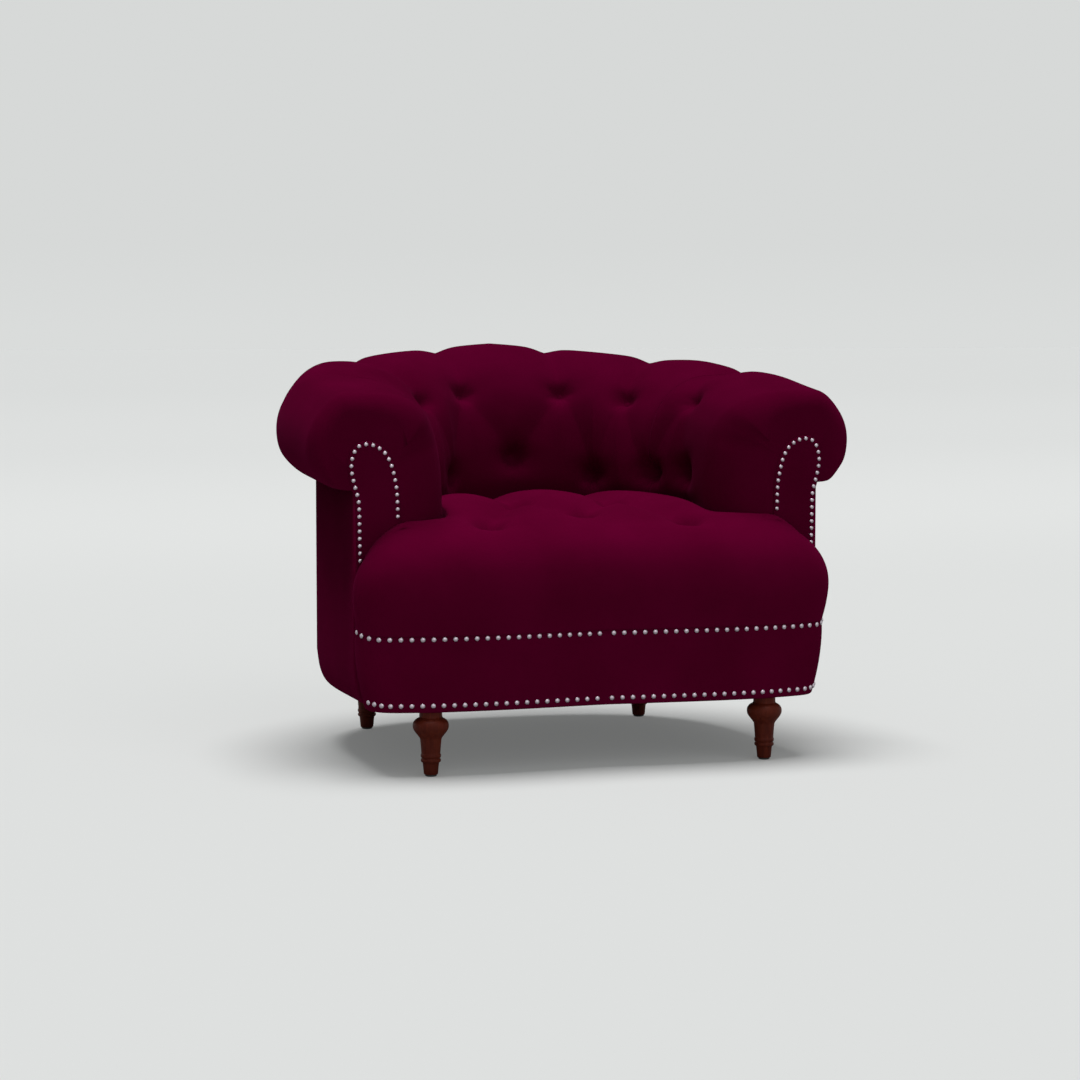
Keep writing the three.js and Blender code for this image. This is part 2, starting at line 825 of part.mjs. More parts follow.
// Arm facing arch: shares of its width from the inner leg, and of its height from the outer foot
const facingArchShares = [
  [0.01, 0.38],
  [0.03, 0.57],
  [0.09, 0.7],
  [0.19, 0.83],
  [0.36, 0.93],
  [0.6, 0.985],
  [0.81, 1],
  [1, 0.985],
  [1.13, 0.93],
  [1.2, 0.84],
  [1.19, 0.74],
  [1.11, 0.62],
  [1.04, 0.53],
  [1.01, 0.44],
  [1, 0.2],
  [0.99, 0],
];
const seatWallTop = seatTop(seatWallHalf, facingY);
const facingFoot = shareOf(seatWidestHeight, seatWallTop, facingFootShare);
const facingTop = undersideHeight(shellHalfLength) + facingRise;
const facingArch = new THREE.SplineCurve(
  facingArchShares.map(
    ([across, up]) =>
      new THREE.Vector2(shareOf(facingInner, facingOuter, across), shareOf(facingFoot, facingTop, up)),
  ),
);

const archLength = facingArch.getLength();
const archPoint = (distance, out) => {
  const share = clamp01(distance / archLength);
  const point = facingArch.getPointAt(share);
  const tangent = facingArch.getTangentAt(share);
  return new THREE.Vector2(point.x - tangent.y * out, point.y + tangent.x * out);
};

function armNails(side) {
  const last = archLength - armNailRadius;
  const places = stationsBetween(armNailRadius, last, armNailCount - 1);
  const faceY = facingY - contactGap;
  const pointAt = (distance, size, dome) => {
    const outer = archPoint(distance, size);
    const middle = archPoint(distance, 0);
    const inner = archPoint(distance, -size);
    return [
      new THREE.Vector3(side * outer.x, faceY, outer.y),
      new THREE.Vector3(side * middle.x, faceY - dome, middle.y),
      new THREE.Vector3(side * inner.x, faceY, inner.y),
    ];
  };
  return nailStrip(pointAt, places, armNailRadius, armNailDome);
}

function armFacing(side) {
  const steps = 30;
  const distances = stationsBetween(0, archLength, steps);
  const arch = distances.map((distance) => archPoint(distance, facingMargin));
  const outline = [
    new THREE.Vector2(arch[0].x, facingTail),
    ...arch,
    new THREE.Vector2(shellHalfWidth - contactGap, facingTail),
  ].map((point) => new THREE.Vector2(side * point.x, point.y));
  const plate = extruded(new THREE.Shape(outline), facingThickness);
  return plate.rotateX(Math.PI / 2).translate(0, facingY + facingThickness, 0);
}

function buildArms() {
  const rings = armPadRings();
  for (const [side, label] of sides) {
    addPiece(`arm_pad_${label}`, padSolid(rings, side), "velvet");
    addPiece(`arm_facing_${label}`, armFacing(side), "velvet");
    addPiece(`arm_nails_${label}`, armNails(side), "nail");
  }
}

// A block between two corners
function block(low, high) {
  const size = high.clone().sub(low);
  const centre = high.clone().add(low).multiplyScalar(1 / 2);
  return new THREE.BoxGeometry(size.x, size.y, size.z).translate(centre.x, centre.y, centre.z);
}

const innerFace = -frameInset;
const outerFace = -panelThickness - contactGap;

function buildFrame() {
  const armTop = undersideHeight(shellHalfLength) - contactGap;
  const backTop = undersideHeight(seamStation) - contactGap;
  const postFoot = railTop + contactGap;
  const railSection = blockSection(outerFace, innerFace, railFoot, railTop);
  const armSection = blockSection(outerFace, innerFace, armTop - armRailHeight, armTop);
  const topSection = blockSection(outerFace, innerFace, backTop - armRailHeight, backTop);
  const [postOuter, postInner] = [outerFace - postEase, innerFace + postEase];
  const underRail = armRailHeight + contactGap;
  const postSection = blockSection(postOuter, postInner, postFoot, armTop - underRail);
  const uprightSection = blockSection(postOuter, postInner, postFoot, backTop - underRail);
  addPiece("rear_rail", sweepShell(railSection, backStations), "ply");
  addPiece("top_back_rail", sweepShell(topSection, backStations), "ply");
  const half = uprightWidth / 2;
  for (const [side, label] of sides) {
    const sided = (stations) => stations.map((station) => side * station);
    addPiece(`side_rail_${label}`, sweepShell(railSection, sided(armFullStations)), "ply");
    addPiece(`arm_rail_${label}`, sweepShell(armSection, sided(armFullStations)), "ply");
    addPiece(`arm_post_${label}`, sweepShell(postSection, sided([armEnd - postLength, armEnd])), "ply");
    const upright = stationsBetween(uprightStation - half, uprightStation + half, 2);
    addPiece(`back_upright_${label}`, sweepShell(uprightSection, sided(upright)), "ply");
  }
  buildFrontRail();
}

function buildFrontRail() {
  const outer = -borderThickness - railEase;
  const inner = outer - frameThickness;
  const foot = blockFoot + blockHeight + contactGap;
  const section = [
    [outer, foot],
    [outer, railTop],
    [inner, railTop],
    [inner, foot],
  ];
  addPiece("front_rail", sweepBorder(section), "ply");
}

// Legs, with the block, bolt and glide of each
const rearLeg = shellPoint(rearLegStation, -rearLegOffset, 0);
const legPlaces = [
  ["front_left", -legX, frontPlane + legSetback],
  ["front_right", legX, frontPlane + legSetback],
  ["rear_left", -rearLeg.x, rearLeg.y],
  ["rear_right", rearLeg.x, rearLeg.y],
];

const legTop = shellFoot - contactGap;
const boltHole = boltRadius + contactGap;

// Turned outline: shares of the ball's radius, and of the height above the glide
const legOutlineShares = [
  [0.37, 0],
  [0.4, 0.02],
  [0.46, 0.19],
  [0.55, 0.2],
  [0.55, 0.245],
  [0.5, 0.26],
  [0.55, 0.275],
  [0.56, 0.32],
  [0.53, 0.335],
  [0.62, 0.52],
  [0.66, 0.555],
  [0.88, 0.6],
  [1, 0.7],
  [0.9, 0.8],
  [0.68, 0.855],
  [0.635, 0.875],
  [0.635, 1],
];

function buildLegs() {
  const turnSteps = 12;
  const foot = glideHeight + contactGap;
  const outline = legOutlineShares.map(
    ([width, rise]) => new THREE.Vector2(width * legBallRadius, shareOf(foot, legTop, rise)),
  );
  const boreFoot = legTop - boltEmbed - contactGap;
  const legProfile = [
    new THREE.Vector2(0, foot),
    ...outline,
    new THREE.Vector2(boltHole, legTop),
    new THREE.Vector2(boltHole, boreFoot),
    new THREE.Vector2(0, boreFoot),
  ];
  const boltFoot = legTop - boltEmbed;
  const boltTop = blockFoot + boltRise;
  const boltProfile = [
    new THREE.Vector2(0, boltFoot),
    new THREE.Vector2(boltRadius, boltFoot),
    new THREE.Vector2(boltRadius, boltTop),
    new THREE.Vector2(0, boltTop),
  ];
  const glideProfile = [
    new THREE.Vector2(0, 0),
    new THREE.Vector2(glideRadius * glideFootShare, 0),
    new THREE.Vector2(glideRadius, glideHeight / 2),
    new THREE.Vector2(glideRadius, glideHeight),
    new THREE.Vector2(0, glideHeight),
  ];
  const turned = (profile, steps, x, y) =>
    new THREE.LatheGeometry(profile, steps).rotateX(Math.PI / 2).translate(x, y, 0);
  for (const [label, x, y] of legPlaces) {
    addPiece(`leg_${label}`, turned(legProfile, turnSteps, x, y), "mahogany");
    addPiece(`leg_bolt_${label}`, turned(boltProfile, roundSteps, x, y), "steel");
    addPiece(`glide_${label}`, turned(glideProfile, turnSteps, x, y), "nylon");
    addPiece(`corner_block_${label}`, cornerBlock(x, y, label), "ply");
  }
}

// A front block is square to the front rail, and a rear block is square to the bow of the shell
function cornerBlock(x, y, label) {
  const front = label.startsWith("front");
  const lead = front ? blockFrontLead : blockRearLead;
  const outward = shellPoint(rearLegStation, 0, 0).sub(rearLeg);
  const bow = Math.atan2(outward.x, outward.y);
  const turn = front ? Math.PI : -bow * Math.sign(x);
  const shape = new THREE.Shape([
    new THREE.Vector2(-blockWidth / 2, lead - blockLength),
    new THREE.Vector2(blockWidth / 2, lead - blockLength),
    new THREE.Vector2(blockWidth / 2, lead),
    new THREE.Vector2(-blockWidth / 2, lead),
  ]);
  shape.holes.push(new THREE.Path().absarc(0, 0, boltHole, 0, Math.PI * 2));
  return extruded(shape, blockHeight).rotateZ(turn).translate(x, y, blockFoot);
}

// Dust cover: thin cloth under the frame, pierced by the leg bolts
function buildDustCover() {
  const leftArm = armFullStations.map((station) => -station);
  const stations = [...[...armFullStations].reverse(), ...[...backStations].reverse(), ...leftArm];
  const back = stations.map((station) => {
    const point = shellPoint(station, -lipReach(station) - contactGap, 0);
    return new THREE.Vector2(point.x, point.y);
  });
  const reach = frontHalfLength - lipReachArm * 2;
  const inset = borderThickness + contactGap * 2;
  const front = borderStations
    .filter((station) => Math.abs(station) < reach)
    .map((station) => {
      const point = borderPoint(station, -inset, coverHeight);
      return new THREE.Vector2(point.x, point.y);
    });
  const shape = new THREE.Shape([...front, ...back]);
  for (const [, x, y] of legPlaces) {
    shape.holes.push(new THREE.Path().absarc(x, y, boltHole, 0, Math.PI * 2));
  }
  addPiece("dust_cover", extruded(shape, coverThickness).translate(0, 0, coverHeight), "cambric");
}

// Sinuous springs from the front rail to the rear rail, held by a clip strip at each end
class SpringPath extends THREE.Curve {
  constructor(x, frontY, rearY, foot) {
    super();
    Object.assign(this, { x, frontY, rearY, foot });
  }

  getPoint(t) {
    const sway = Math.sin(t * springBends * Math.PI) * springHalfWidth;
    const rise = Math.sin(t * Math.PI) * springArch;
    return new THREE.Vector3(this.x + sway, shareOf(this.frontY, this.rearY, t), this.foot + rise);
  }
}

// Where the shell, set in by an inset, crosses a line that runs back at x
function insideShellY(x, inset) {
  const samples = 200;
  const bowLength = shellHalfLength - sideStraight + facingSetback;
  const points = stationsBetween(0, bowLength, samples).map((station) =>
    shellPoint(station, -inset, 0),
  );
  const gaps = points.map((point) => Math.abs(point.x - Math.abs(x)));
  return points[gaps.indexOf(Math.min(...gaps))].y;
}

function buildSprings() {
  const count = 5;
  const stepsPerBend = 2;
  const radius = springWire / 2;
  const wireSection = new THREE.Shape([
    new THREE.Vector2(radius, 0),
    new THREE.Vector2(0, radius),
    new THREE.Vector2(-radius, 0),
    new THREE.Vector2(0, -radius),
  ]);
  const foot = railTop + contactGap + clipHeight + contactGap + radius;
  const frontY = frontPoint(0, -borderThickness - frameThickness / 2, 0).y;
  for (const index of range(count)) {
    const x = (index - (count - 1) / 2) * springSpacing;
    const rearY = insideShellY(x, panelThickness + frameThickness / 2);
    const path = new SpringPath(x, frontY, rearY, foot);
    const geometry = new THREE.ExtrudeGeometry(wireSection, {
      steps: springBends * stepsPerBend,
      extrudePath: path,
      bevelEnabled: false,
    });
    addPiece(`seat_spring_${index + 1}`, geometry, "steel");
  }
  const clipFoot = railTop + contactGap;
  const clipReach = springSpacing * (count / 2);
  const low = new THREE.Vector3(-clipReach, frontY - clipWidth / 2, clipFoot);
  const high = new THREE.Vector3(clipReach, frontY + clipWidth / 2, clipFoot + clipHeight);
  addPiece("spring_clip_strip_front", block(low, high), "steel");
  const middle = -panelThickness - frameThickness / 2;
  const [clipOuter, clipInner] = [middle + clipWidth / 2, middle - clipWidth / 2];
  const rearSection = blockSection(clipOuter, clipInner, clipFoot, clipFoot + clipHeight);
  const clipStations = stationsBetween(-clipReach, clipReach, clipSteps);
  addPiece("spring_clip_strip_rear", sweepShell(rearSection, clipStations), "steel");
  const matFoot = foot + springArch + radius + contactGap * 2;
  const matLow = new THREE.Vector3(-matHalfWidth, frontPlane + matFrontSetback, matFoot);
  const matRear = bowY + bowReach - matRearSetback;
  const matHigh = new THREE.Vector3(matHalfWidth, matRear, seatFoot - contactGap);
  addPiece("spring_mat", block(matLow, matHigh), "felt");
}

buildSeat();
buildBackPad();
buildArms();
buildPanels();
buildBorder();
addPiece("nail_row_upper", baseNailRow(upperNailHeight, upperNailCount), "nail");
addPiece("nail_row_lower", baseNailRow(lowerNailHeight, lowerNailCount), "nail");
buildFrame();
buildSprings();
buildDustCover();
buildLegs();

export default chair;
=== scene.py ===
import math
import bmesh
import bpy
import numpy as np
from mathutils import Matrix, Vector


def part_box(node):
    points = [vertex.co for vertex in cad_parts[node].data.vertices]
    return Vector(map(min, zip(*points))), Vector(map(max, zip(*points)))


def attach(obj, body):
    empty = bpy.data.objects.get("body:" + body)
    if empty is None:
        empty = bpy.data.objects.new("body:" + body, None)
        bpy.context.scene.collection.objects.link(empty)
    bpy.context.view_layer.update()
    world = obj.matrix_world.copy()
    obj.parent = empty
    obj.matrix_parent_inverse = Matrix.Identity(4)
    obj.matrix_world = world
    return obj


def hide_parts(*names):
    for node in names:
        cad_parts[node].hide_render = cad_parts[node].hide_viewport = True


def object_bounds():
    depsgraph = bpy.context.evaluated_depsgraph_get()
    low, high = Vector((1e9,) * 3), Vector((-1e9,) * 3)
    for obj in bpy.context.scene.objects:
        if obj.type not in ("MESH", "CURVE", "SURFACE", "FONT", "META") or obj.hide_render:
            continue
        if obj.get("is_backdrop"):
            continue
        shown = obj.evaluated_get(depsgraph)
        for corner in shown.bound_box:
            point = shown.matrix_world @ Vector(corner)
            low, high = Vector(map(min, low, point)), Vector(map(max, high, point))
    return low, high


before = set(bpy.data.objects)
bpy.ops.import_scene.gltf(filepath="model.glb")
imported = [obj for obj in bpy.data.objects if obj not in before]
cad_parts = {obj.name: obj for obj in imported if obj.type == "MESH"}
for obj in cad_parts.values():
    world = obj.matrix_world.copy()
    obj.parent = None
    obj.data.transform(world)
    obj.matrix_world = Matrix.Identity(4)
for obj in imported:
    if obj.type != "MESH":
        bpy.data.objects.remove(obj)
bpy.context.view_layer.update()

scene = bpy.context.scene

# Camera: stands a little to the left of the chair's front, at the height of a seated
# person's eyes, with a long lens that keeps the chair's lines calm.
camera_data = bpy.data.cameras.new("camera")
camera_data.sensor_width = 36.0
camera_data.lens = 91.02
camera = bpy.data.objects.new("camera", camera_data)
camera.location = (-1.5594, -4.8903, 0.7784)
camera.rotation_euler = (math.pi / 2 - 0.0778242, 0.0, -0.308607)
scene.collection.objects.link(camera)
scene.camera = camera
scene.view_settings.view_transform = "Standard"

# Studio floor: a sweep of matt pale grey paper that runs back out of sight, a touch
# lighter in a band behind the chair. The camera sees its shadows softened, and it
# throws less light up at the chair than its colour would.
MM = 0.001


def new_material(name):
    """A node material with its Principled shader and output joined."""
    made = bpy.data.materials.new(name)
    made.use_nodes = True
    made.node_tree.nodes.clear()
    output = made.node_tree.nodes.new("ShaderNodeOutputMaterial")
    shader = made.node_tree.nodes.new("ShaderNodeBsdfPrincipled")
    made.node_tree.links.new(shader.outputs["BSDF"], output.inputs["Surface"])
    return made, shader


def add_node(nodes, kind, values=None, **settings):
    """A node of a kind: its settings are made first, then the values of some inputs."""
    made = nodes.new(kind)
    for name, setting in settings.items():
        setattr(made, name, setting)
    for socket, value in (values or {}).items():
        made.inputs[socket].default_value = value
    return made


def connect(links, *rows):
    """Links nodes row by row: a node and its output, then a node and its input."""
    for source, result, target, socket in rows:
        links.new(source.outputs[result], target.inputs[socket])


def add_object(name, points, faces, material, smooth=True):
    """A mesh object from points in metres and faces, with its faces turned outwards."""
    mesh = bpy.data.meshes.new(name)
    mesh.from_pydata([tuple(point) for point in points], [], [tuple(face) for face in faces])
    work = bmesh.new()
    work.from_mesh(mesh)
    bmesh.ops.recalc_face_normals(work, faces=work.faces)
    work.to_mesh(mesh)
    work.free()
    mesh.polygons.foreach_set("use_smooth", [smooth] * len(mesh.polygons))
    mesh.materials.append(material)
    made = bpy.data.objects.new(name, mesh)
    scene.collection.objects.link(made)
    return made


paper, shader = new_material("floor_paper")
nodes, links = paper.node_tree.nodes, paper.node_tree.links
place = nodes.new("ShaderNodeTexCoord")
split = nodes.new("ShaderNodeSeparateXYZ")
depth = add_node(nodes, "ShaderNodeMapRange", {"From Min": -4.0, "From Max": 36.0})
sweep = nodes.new("ShaderNodeValToRGB")
sweep.color_ramp.interpolation = "EASE"
sweep.color_ramp.elements[0].color = (0.725, 0.740, 0.733, 1.0)
sweep.color_ramp.elements[1].position = 0.85
sweep.color_ramp.elements[1].color = (0.700, 0.715, 0.708, 1.0)
for position, colour in (
    (0.16, (0.735, 0.750, 0.742, 1.0)),
    (0.24, (0.760, 0.775, 0.767, 1.0)),
    (0.42, (0.722, 0.737, 0.730, 1.0)),
):
    sweep.color_ramp.elements.new(position).color = colour
connect(
    links,
    (place, "Object", split, "Vector"),
    (split, "Y", depth, "Value"),
    (depth, "Result", sweep, "Fac"),
)
shader.inputs["Roughness"].default_value = 0.95
shader.inputs["Specular IOR Level"].default_value = 0.0
glow = nodes.new("ShaderNodeEmission")
light_path = nodes.new("ShaderNodeLightPath")
THROWN_BACK, SHADOW_LIFT = (0.40, 0.41, 0.405, 1.0), 0.19
bounce = add_node(nodes, "ShaderNodeMix", {"A": THROWN_BACK}, data_type="RGBA")
lift = add_node(nodes, "ShaderNodeMath", {1: SHADOW_LIFT}, operation="MULTIPLY")
lifted = nodes.new("ShaderNodeMixShader")
connect(
    links,
    (sweep, "Color", glow, "Color"),
    (sweep, "Color", bounce, "B"),
    (light_path, "Is Camera Ray", bounce, "Factor"),
    (bounce, "Result", shader, "Base Color"),
    (light_path, "Is Camera Ray", lift, 0),
    (lift, "Value", lifted, "Fac"),
    (shader, "BSDF", lifted, 1),
    (glow, "Emission", lifted, 2),
    (lifted, "Shader", nodes["Material Output"], "Surface"),
)
floor_corners = [(-60, -12, 0), (60, -12, 0), (60, 90, 0), (-60, 90, 0)]
floor = add_object("floor", floor_corners, [(0, 1, 2, 3)], paper, smooth=False)
floor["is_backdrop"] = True

# Studio light: a broad soft source overhead, a weak one in front and an even glow all
# round, which together light a level surface at about the strength at which its colour
# is written. The backdrop is pale to the camera and in reflections alone.
for name, energy, breadth, lean in (
    ("lamp_overhead", 2.58, 36.0, (-4.0, -2.0, 0.0)),
    ("lamp_front", 0.52, 70.0, (58.0, 0.0, 4.0)),
):
    lamp_data = bpy.data.lights.new(name, "SUN")
    lamp_data.energy = energy
    lamp_data.angle = math.radians(breadth)
    lamp = bpy.data.objects.new(name, lamp_data)
    lamp.rotation_euler = [math.radians(turn) for turn in lean]
    scene.collection.objects.link(lamp)

world = bpy.data.worlds.new("studio")
scene.world = world
world.use_nodes = True
nodes, links = world.node_tree.nodes, world.node_tree.links
nodes.clear()
output = nodes.new("ShaderNodeOutputWorld")
place = nodes.new("ShaderNodeTexCoord")
split = nodes.new("ShaderNodeSeparateXYZ")
height = add_node(nodes, "ShaderNodeMapRange", {"From Max": 0.03})
backdrop = add_node(
    nodes,
    "ShaderNodeMix",
    {"A": (0.700, 0.715, 0.708, 1.0), "B": (0.679, 0.693, 0.686, 1.0)},
    data_type="RGBA",
)
seen = nodes.new("ShaderNodeBackground")
lit = add_node(nodes, "ShaderNodeBackground", {"Color": (1.0, 1.0, 1.0, 1.0), "Strength": 0.10})
light_path = nodes.new("ShaderNodeLightPath")
glossy = add_node(nodes, "ShaderNodeMath", operation="MAXIMUM")
choose = nodes.new("ShaderNodeMixShader")
connect(
    links,
    (place, "Generated", split, "Vector"),
    (split, "Z", height, "Value"),
    (height, "Result", backdrop, "Factor"),
    (backdrop, "Result", seen, "Color"),
    (light_path, "Is Camera Ray", glossy, 0),
    (light_path, "Is Glossy Ray", glossy, 1),
    (glossy, "Value", choose, "Fac"),
    (lit, "Background", choose, 1),
    (seen, "Background", choose, 2),
    (choose, "Shader", output, "Surface"),
)

# Frame: rails, arm posts, uprights and corner blocks of pale hardwood and ply, glued and
# screwed. All of it lies under the cloth, and its pieces keep the shapes that they have.


def node_group(name, kind, inputs, outputs):
    """A node group with its input and output nodes. Its sockets come by name and type."""
    group = bpy.data.node_groups.new(name, kind)
    for direction, sockets in (("INPUT", inputs), ("OUTPUT", outputs)):
        for socket, socket_type in sockets.items():
            group.interface.new_socket(socket, in_out=direction, socket_type="NodeSocket" + socket_type)
    return group, group.nodes.new("NodeGroupInput"), group.nodes.new("NodeGroupOutput")


def wood_grain_group():
    """Colour and relief of wood whose grain runs up Z."""
    group, given, result = node_group(
        "wood_grain",
        "ShaderNodeTree",
        {"Coordinates": "Vector", "Pale": "Color", "Dark": "Color"},
        {"Color": "Color", "Relief": "Float"},
    )
    nodes, links = group.nodes, group.links
    stretch = add_node(nodes, "ShaderNodeMapping", {"Scale": (1.0, 1.0, 0.09)})
    streaks = add_node(nodes, "ShaderNodeTexNoise", {"Scale": 190.0, "Detail": 5.0, "Distortion": 0.6})
    figure = add_node(nodes, "ShaderNodeTexNoise", {"Scale": 26.0, "Detail": 2.0})
    blend = add_node(nodes, "ShaderNodeMath", {1: 0.5}, operation="MULTIPLY_ADD")
    spread = add_node(nodes, "ShaderNodeMapRange", {"From Min": 0.55, "From Max": 0.95})
    mix = add_node(nodes, "ShaderNodeMix", data_type="RGBA")
    connect(
        links,
        (given, "Coordinates", stretch, "Vector"),
        (stretch, "Vector", streaks, "Vector"),
        (stretch, "Vector", figure, "Vector"),
        (figure, "Fac", blend, 0),
        (streaks, "Fac", blend, 2),
        (blend, "Value", spread, "Value"),
        (spread, "Result", mix, "Factor"),
        (given, "Pale", mix, "A"),
        (given, "Dark", mix, "B"),
        (mix, "Result", result, "Color"),
        (streaks, "Fac", result, "Relief"),
    )
    return group


def wood_material(name, pale, dark, roughness, relief_depth):
    made, shader = new_material(name)
    nodes, links = made.node_tree.nodes, made.node_tree.links
    place = nodes.new("ShaderNodeTexCoord")
    grain = add_node(nodes, "ShaderNodeGroup", {"Pale": pale, "Dark": dark}, node_tree=wood_grain)
    bump = add_node(nodes, "ShaderNodeBump", {"Strength": 0.5, "Distance": relief_depth})
    connect(
        links,
        (place, "Object", grain, "Coordinates"),
        (grain, "Color", shader, "Base Color"),
        (grain, "Relief", bump, "Height"),
        (bump, "Normal", shader, "Normal"),
    )
    shader.inputs["Roughness"].default_value = roughness
    return made, shader


def dress(starts, material):
    """Gives a finish to the frame's nodes whose names start with any of some words."""
    for name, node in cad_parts.items():
        if name.startswith(starts):
            for slot in node.material_slots:
                slot.material = material


wood_grain = wood_grain_group()
hardwood, shader = wood_material(
    "hardwood_pale", (0.56, 0.36, 0.16, 1.0), (0.40, 0.22, 0.085, 1.0), 0.7, 0.0004
)
dress(("front_rail", "rear_rail", "side_rail", "top_back_rail", "arm_rail"), hardwood)
dress(("arm_post", "back_upright", "corner_block"), hardwood)

# Springs: five zigzag springs of round wire between two clip strips, and the bolts that
# hold the legs, all of dull zinc-plated steel.


def mottled_material(name, colour_pattern, gloss_pattern, colours, roughnesses):
    """A material whose colour and roughness each follow a pattern: its kind, scale, detail and output."""
    made, shader = new_material(name)
    nodes, links = made.node_tree.nodes, made.node_tree.links
    place = nodes.new("ShaderNodeTexCoord")
    tone = add_node(nodes, "ShaderNodeMix", dict(zip("AB", colours)), data_type="RGBA")
    dulling = add_node(nodes, "ShaderNodeMapRange", dict(zip(("To Min", "To Max"), roughnesses)))
    for (kind, scale, detail, measure), socket in (
        (colour_pattern, tone.inputs["Factor"]),
        (gloss_pattern, dulling.inputs["Value"]),
    ):
        pattern = nodes.new(kind)
        pattern.inputs["Scale"].default_value = scale
        pattern.inputs["Detail"].default_value = detail
        links.new(place.outputs["Object"], pattern.inputs["Vector"])
        links.new(pattern.outputs[measure], socket)
    links.new(tone.outputs["Result"], shader.inputs["Base Color"])
    links.new(dulling.outputs["Result"], shader.inputs["Roughness"])
    return made, shader


spangle = ("ShaderNodeTexVoronoi", 260.0, 0.0, "Distance")
zinc_tones = (0.42, 0.43, 0.44, 1.0), (0.55, 0.56, 0.58, 1.0)
steel, shader = mottled_material("steel_zinc", spangle, spangle, zinc_tones, (0.32, 0.5))
shader.inputs["Metallic"].default_value = 1.0
dress(("seat_spring", "spring_clip_strip", "leg_bolt"), steel)

# Spring mat and dust cover: grey needled felt that keeps the seat off the springs, and
# black cambric tacked under the frame.


def nap_group():
    """Colour and relief of short fibres that lie in soft patches."""
    scales = {"Patch Scale": "Float", "Fibre Scale": "Float"}
    group, given, result = node_group(
        "fibre_nap",
        "ShaderNodeTree",
        {"Coordinates": "Vector", "Deep": "Color", "Lit": "Color", **scales},
        {"Color": "Color", "Relief": "Float"},
    )
    nodes, links = group.nodes, group.links
    patches = add_node(nodes, "ShaderNodeTexNoise", {"Detail": 3.0})
    spread = add_node(nodes, "ShaderNodeMapRange", {"From Min": 0.32, "From Max": 0.68})
    mix = add_node(nodes, "ShaderNodeMix", data_type="RGBA")
    fibres = add_node(nodes, "ShaderNodeTexNoise", {"Detail": 2.0})
    connect(
        links,
        (given, "Coordinates", patches, "Vector"),
        (given, "Patch Scale", patches, "Scale"),
        (given, "Coordinates", fibres, "Vector"),
        (given, "Fibre Scale", fibres, "Scale"),
        (patches, "Fac", spread, "Value"),
        (spread, "Result", mix, "Factor"),
        (given, "Deep", mix, "A"),
        (given, "Lit", mix, "B"),
        (mix, "Result", result, "Color"),
        (fibres, "Fac", result, "Relief"),
    )
    return group


def napped_material(name, deep, lit, patch_scale, fibre_scale, relief_depth):
    made, shader = new_material(name)
    nodes, links = made.node_tree.nodes, made.node_tree.links
    place = nodes.new("ShaderNodeTexCoord")
    nap = add_node(
        nodes,
        "ShaderNodeGroup",
        {"Deep": deep, "Lit": lit, "Patch Scale": patch_scale, "Fibre Scale": fibre_scale},
        node_tree=fibre_nap,
    )
    bump = add_node(nodes, "ShaderNodeBump", {"Strength": 0.35, "Distance": relief_depth})
    connect(
        links,
        (place, "Object", nap, "Coordinates"),
        (nap, "Color", shader, "Base Color"),
        (nap, "Relief", bump, "Height"),
        (bump, "Normal", shader, "Normal"),
    )
    shader.inputs["Roughness"].default_value = 1.0
    shader.inputs["Specular IOR Level"].default_value = 0.0
    return made, shader


fibre_nap = nap_group()
felt, shader = napped_material(
    "felt_grey", (0.20, 0.18, 0.14, 1.0), (0.31, 0.29, 0.24, 1.0), 60.0, 700.0, 0.001
)
dress("spring_mat", felt)

cambric, shader = new_material("cambric_black")
nodes, links = cambric.node_tree.nodes, cambric.node_tree.links
place = nodes.new("ShaderNodeTexCoord")
threads = []
for direction in ("X", "Y"):
    thread = add_node(
        nodes, "ShaderNodeTexWave", {"Scale": 420.0, "Distortion": 0.4}, bands_direction=direction
    )
    links.new(place.outputs["Object"], thread.inputs["Vector"])
    threads.append(thread)
weave = add_node(nodes, "ShaderNodeMath", operation="MULTIPLY")
tone = add_node(
    nodes,
    "ShaderNodeMix",
    {"A": (0.007, 0.007, 0.008, 1.0), "B": (0.02, 0.02, 0.022, 1.0)},
    data_type="RGBA",
)
bump = add_node(nodes, "ShaderNodeBump", {"Strength": 0.4, "Distance": 0.0003})
connect(
    links,
    (threads[0], "Fac", weave, 0),
    (threads[1], "Fac", weave, 1),
    (weave, "Value", tone, "Factor"),
    (weave, "Value", bump, "Height"),
    (tone, "Result", shader, "Base Color"),
    (bump, "Normal", shader, "Normal"),
)
shader.inputs["Roughness"].default_value = 0.9
dress("dust_cover", cambric)

# Legs: four short turned legs of mahogany, stained dark and waxed, each with a ball at its
# top, two fine rings and a tapered foot. A bolt comes up out of each into its block.
LEG_BALL, LEG_FOOT, LEG_TOP = 31.5, 3.3, 113.7
LEG_SHARES = [
    (0.35, 0.0),
    (0.385, 0.008),
    (0.4, 0.03),
    (0.455, 0.18),
    (0.5, 0.195),
    (0.55, 0.21),
    (0.553, 0.24),
    (0.515, 0.255),
    (0.515, 0.265),
    (0.555, 0.28),
    (0.56, 0.315),
    (0.53, 0.335),
    (0.54, 0.39),
    (0.58, 0.52),
    (0.61, 0.575),
    (0.73, 0.625),
    (0.87, 0.675),
    (0.97, 0.725),
    (1.0, 0.775),
    (0.97, 0.825),
    (0.85, 0.87),
    (0.68, 0.9),
    (0.635, 0.925),
    (0.635, 1.0),
]
BOLT_HOLE, BOLT_DEPTH = 4.3, 32.3


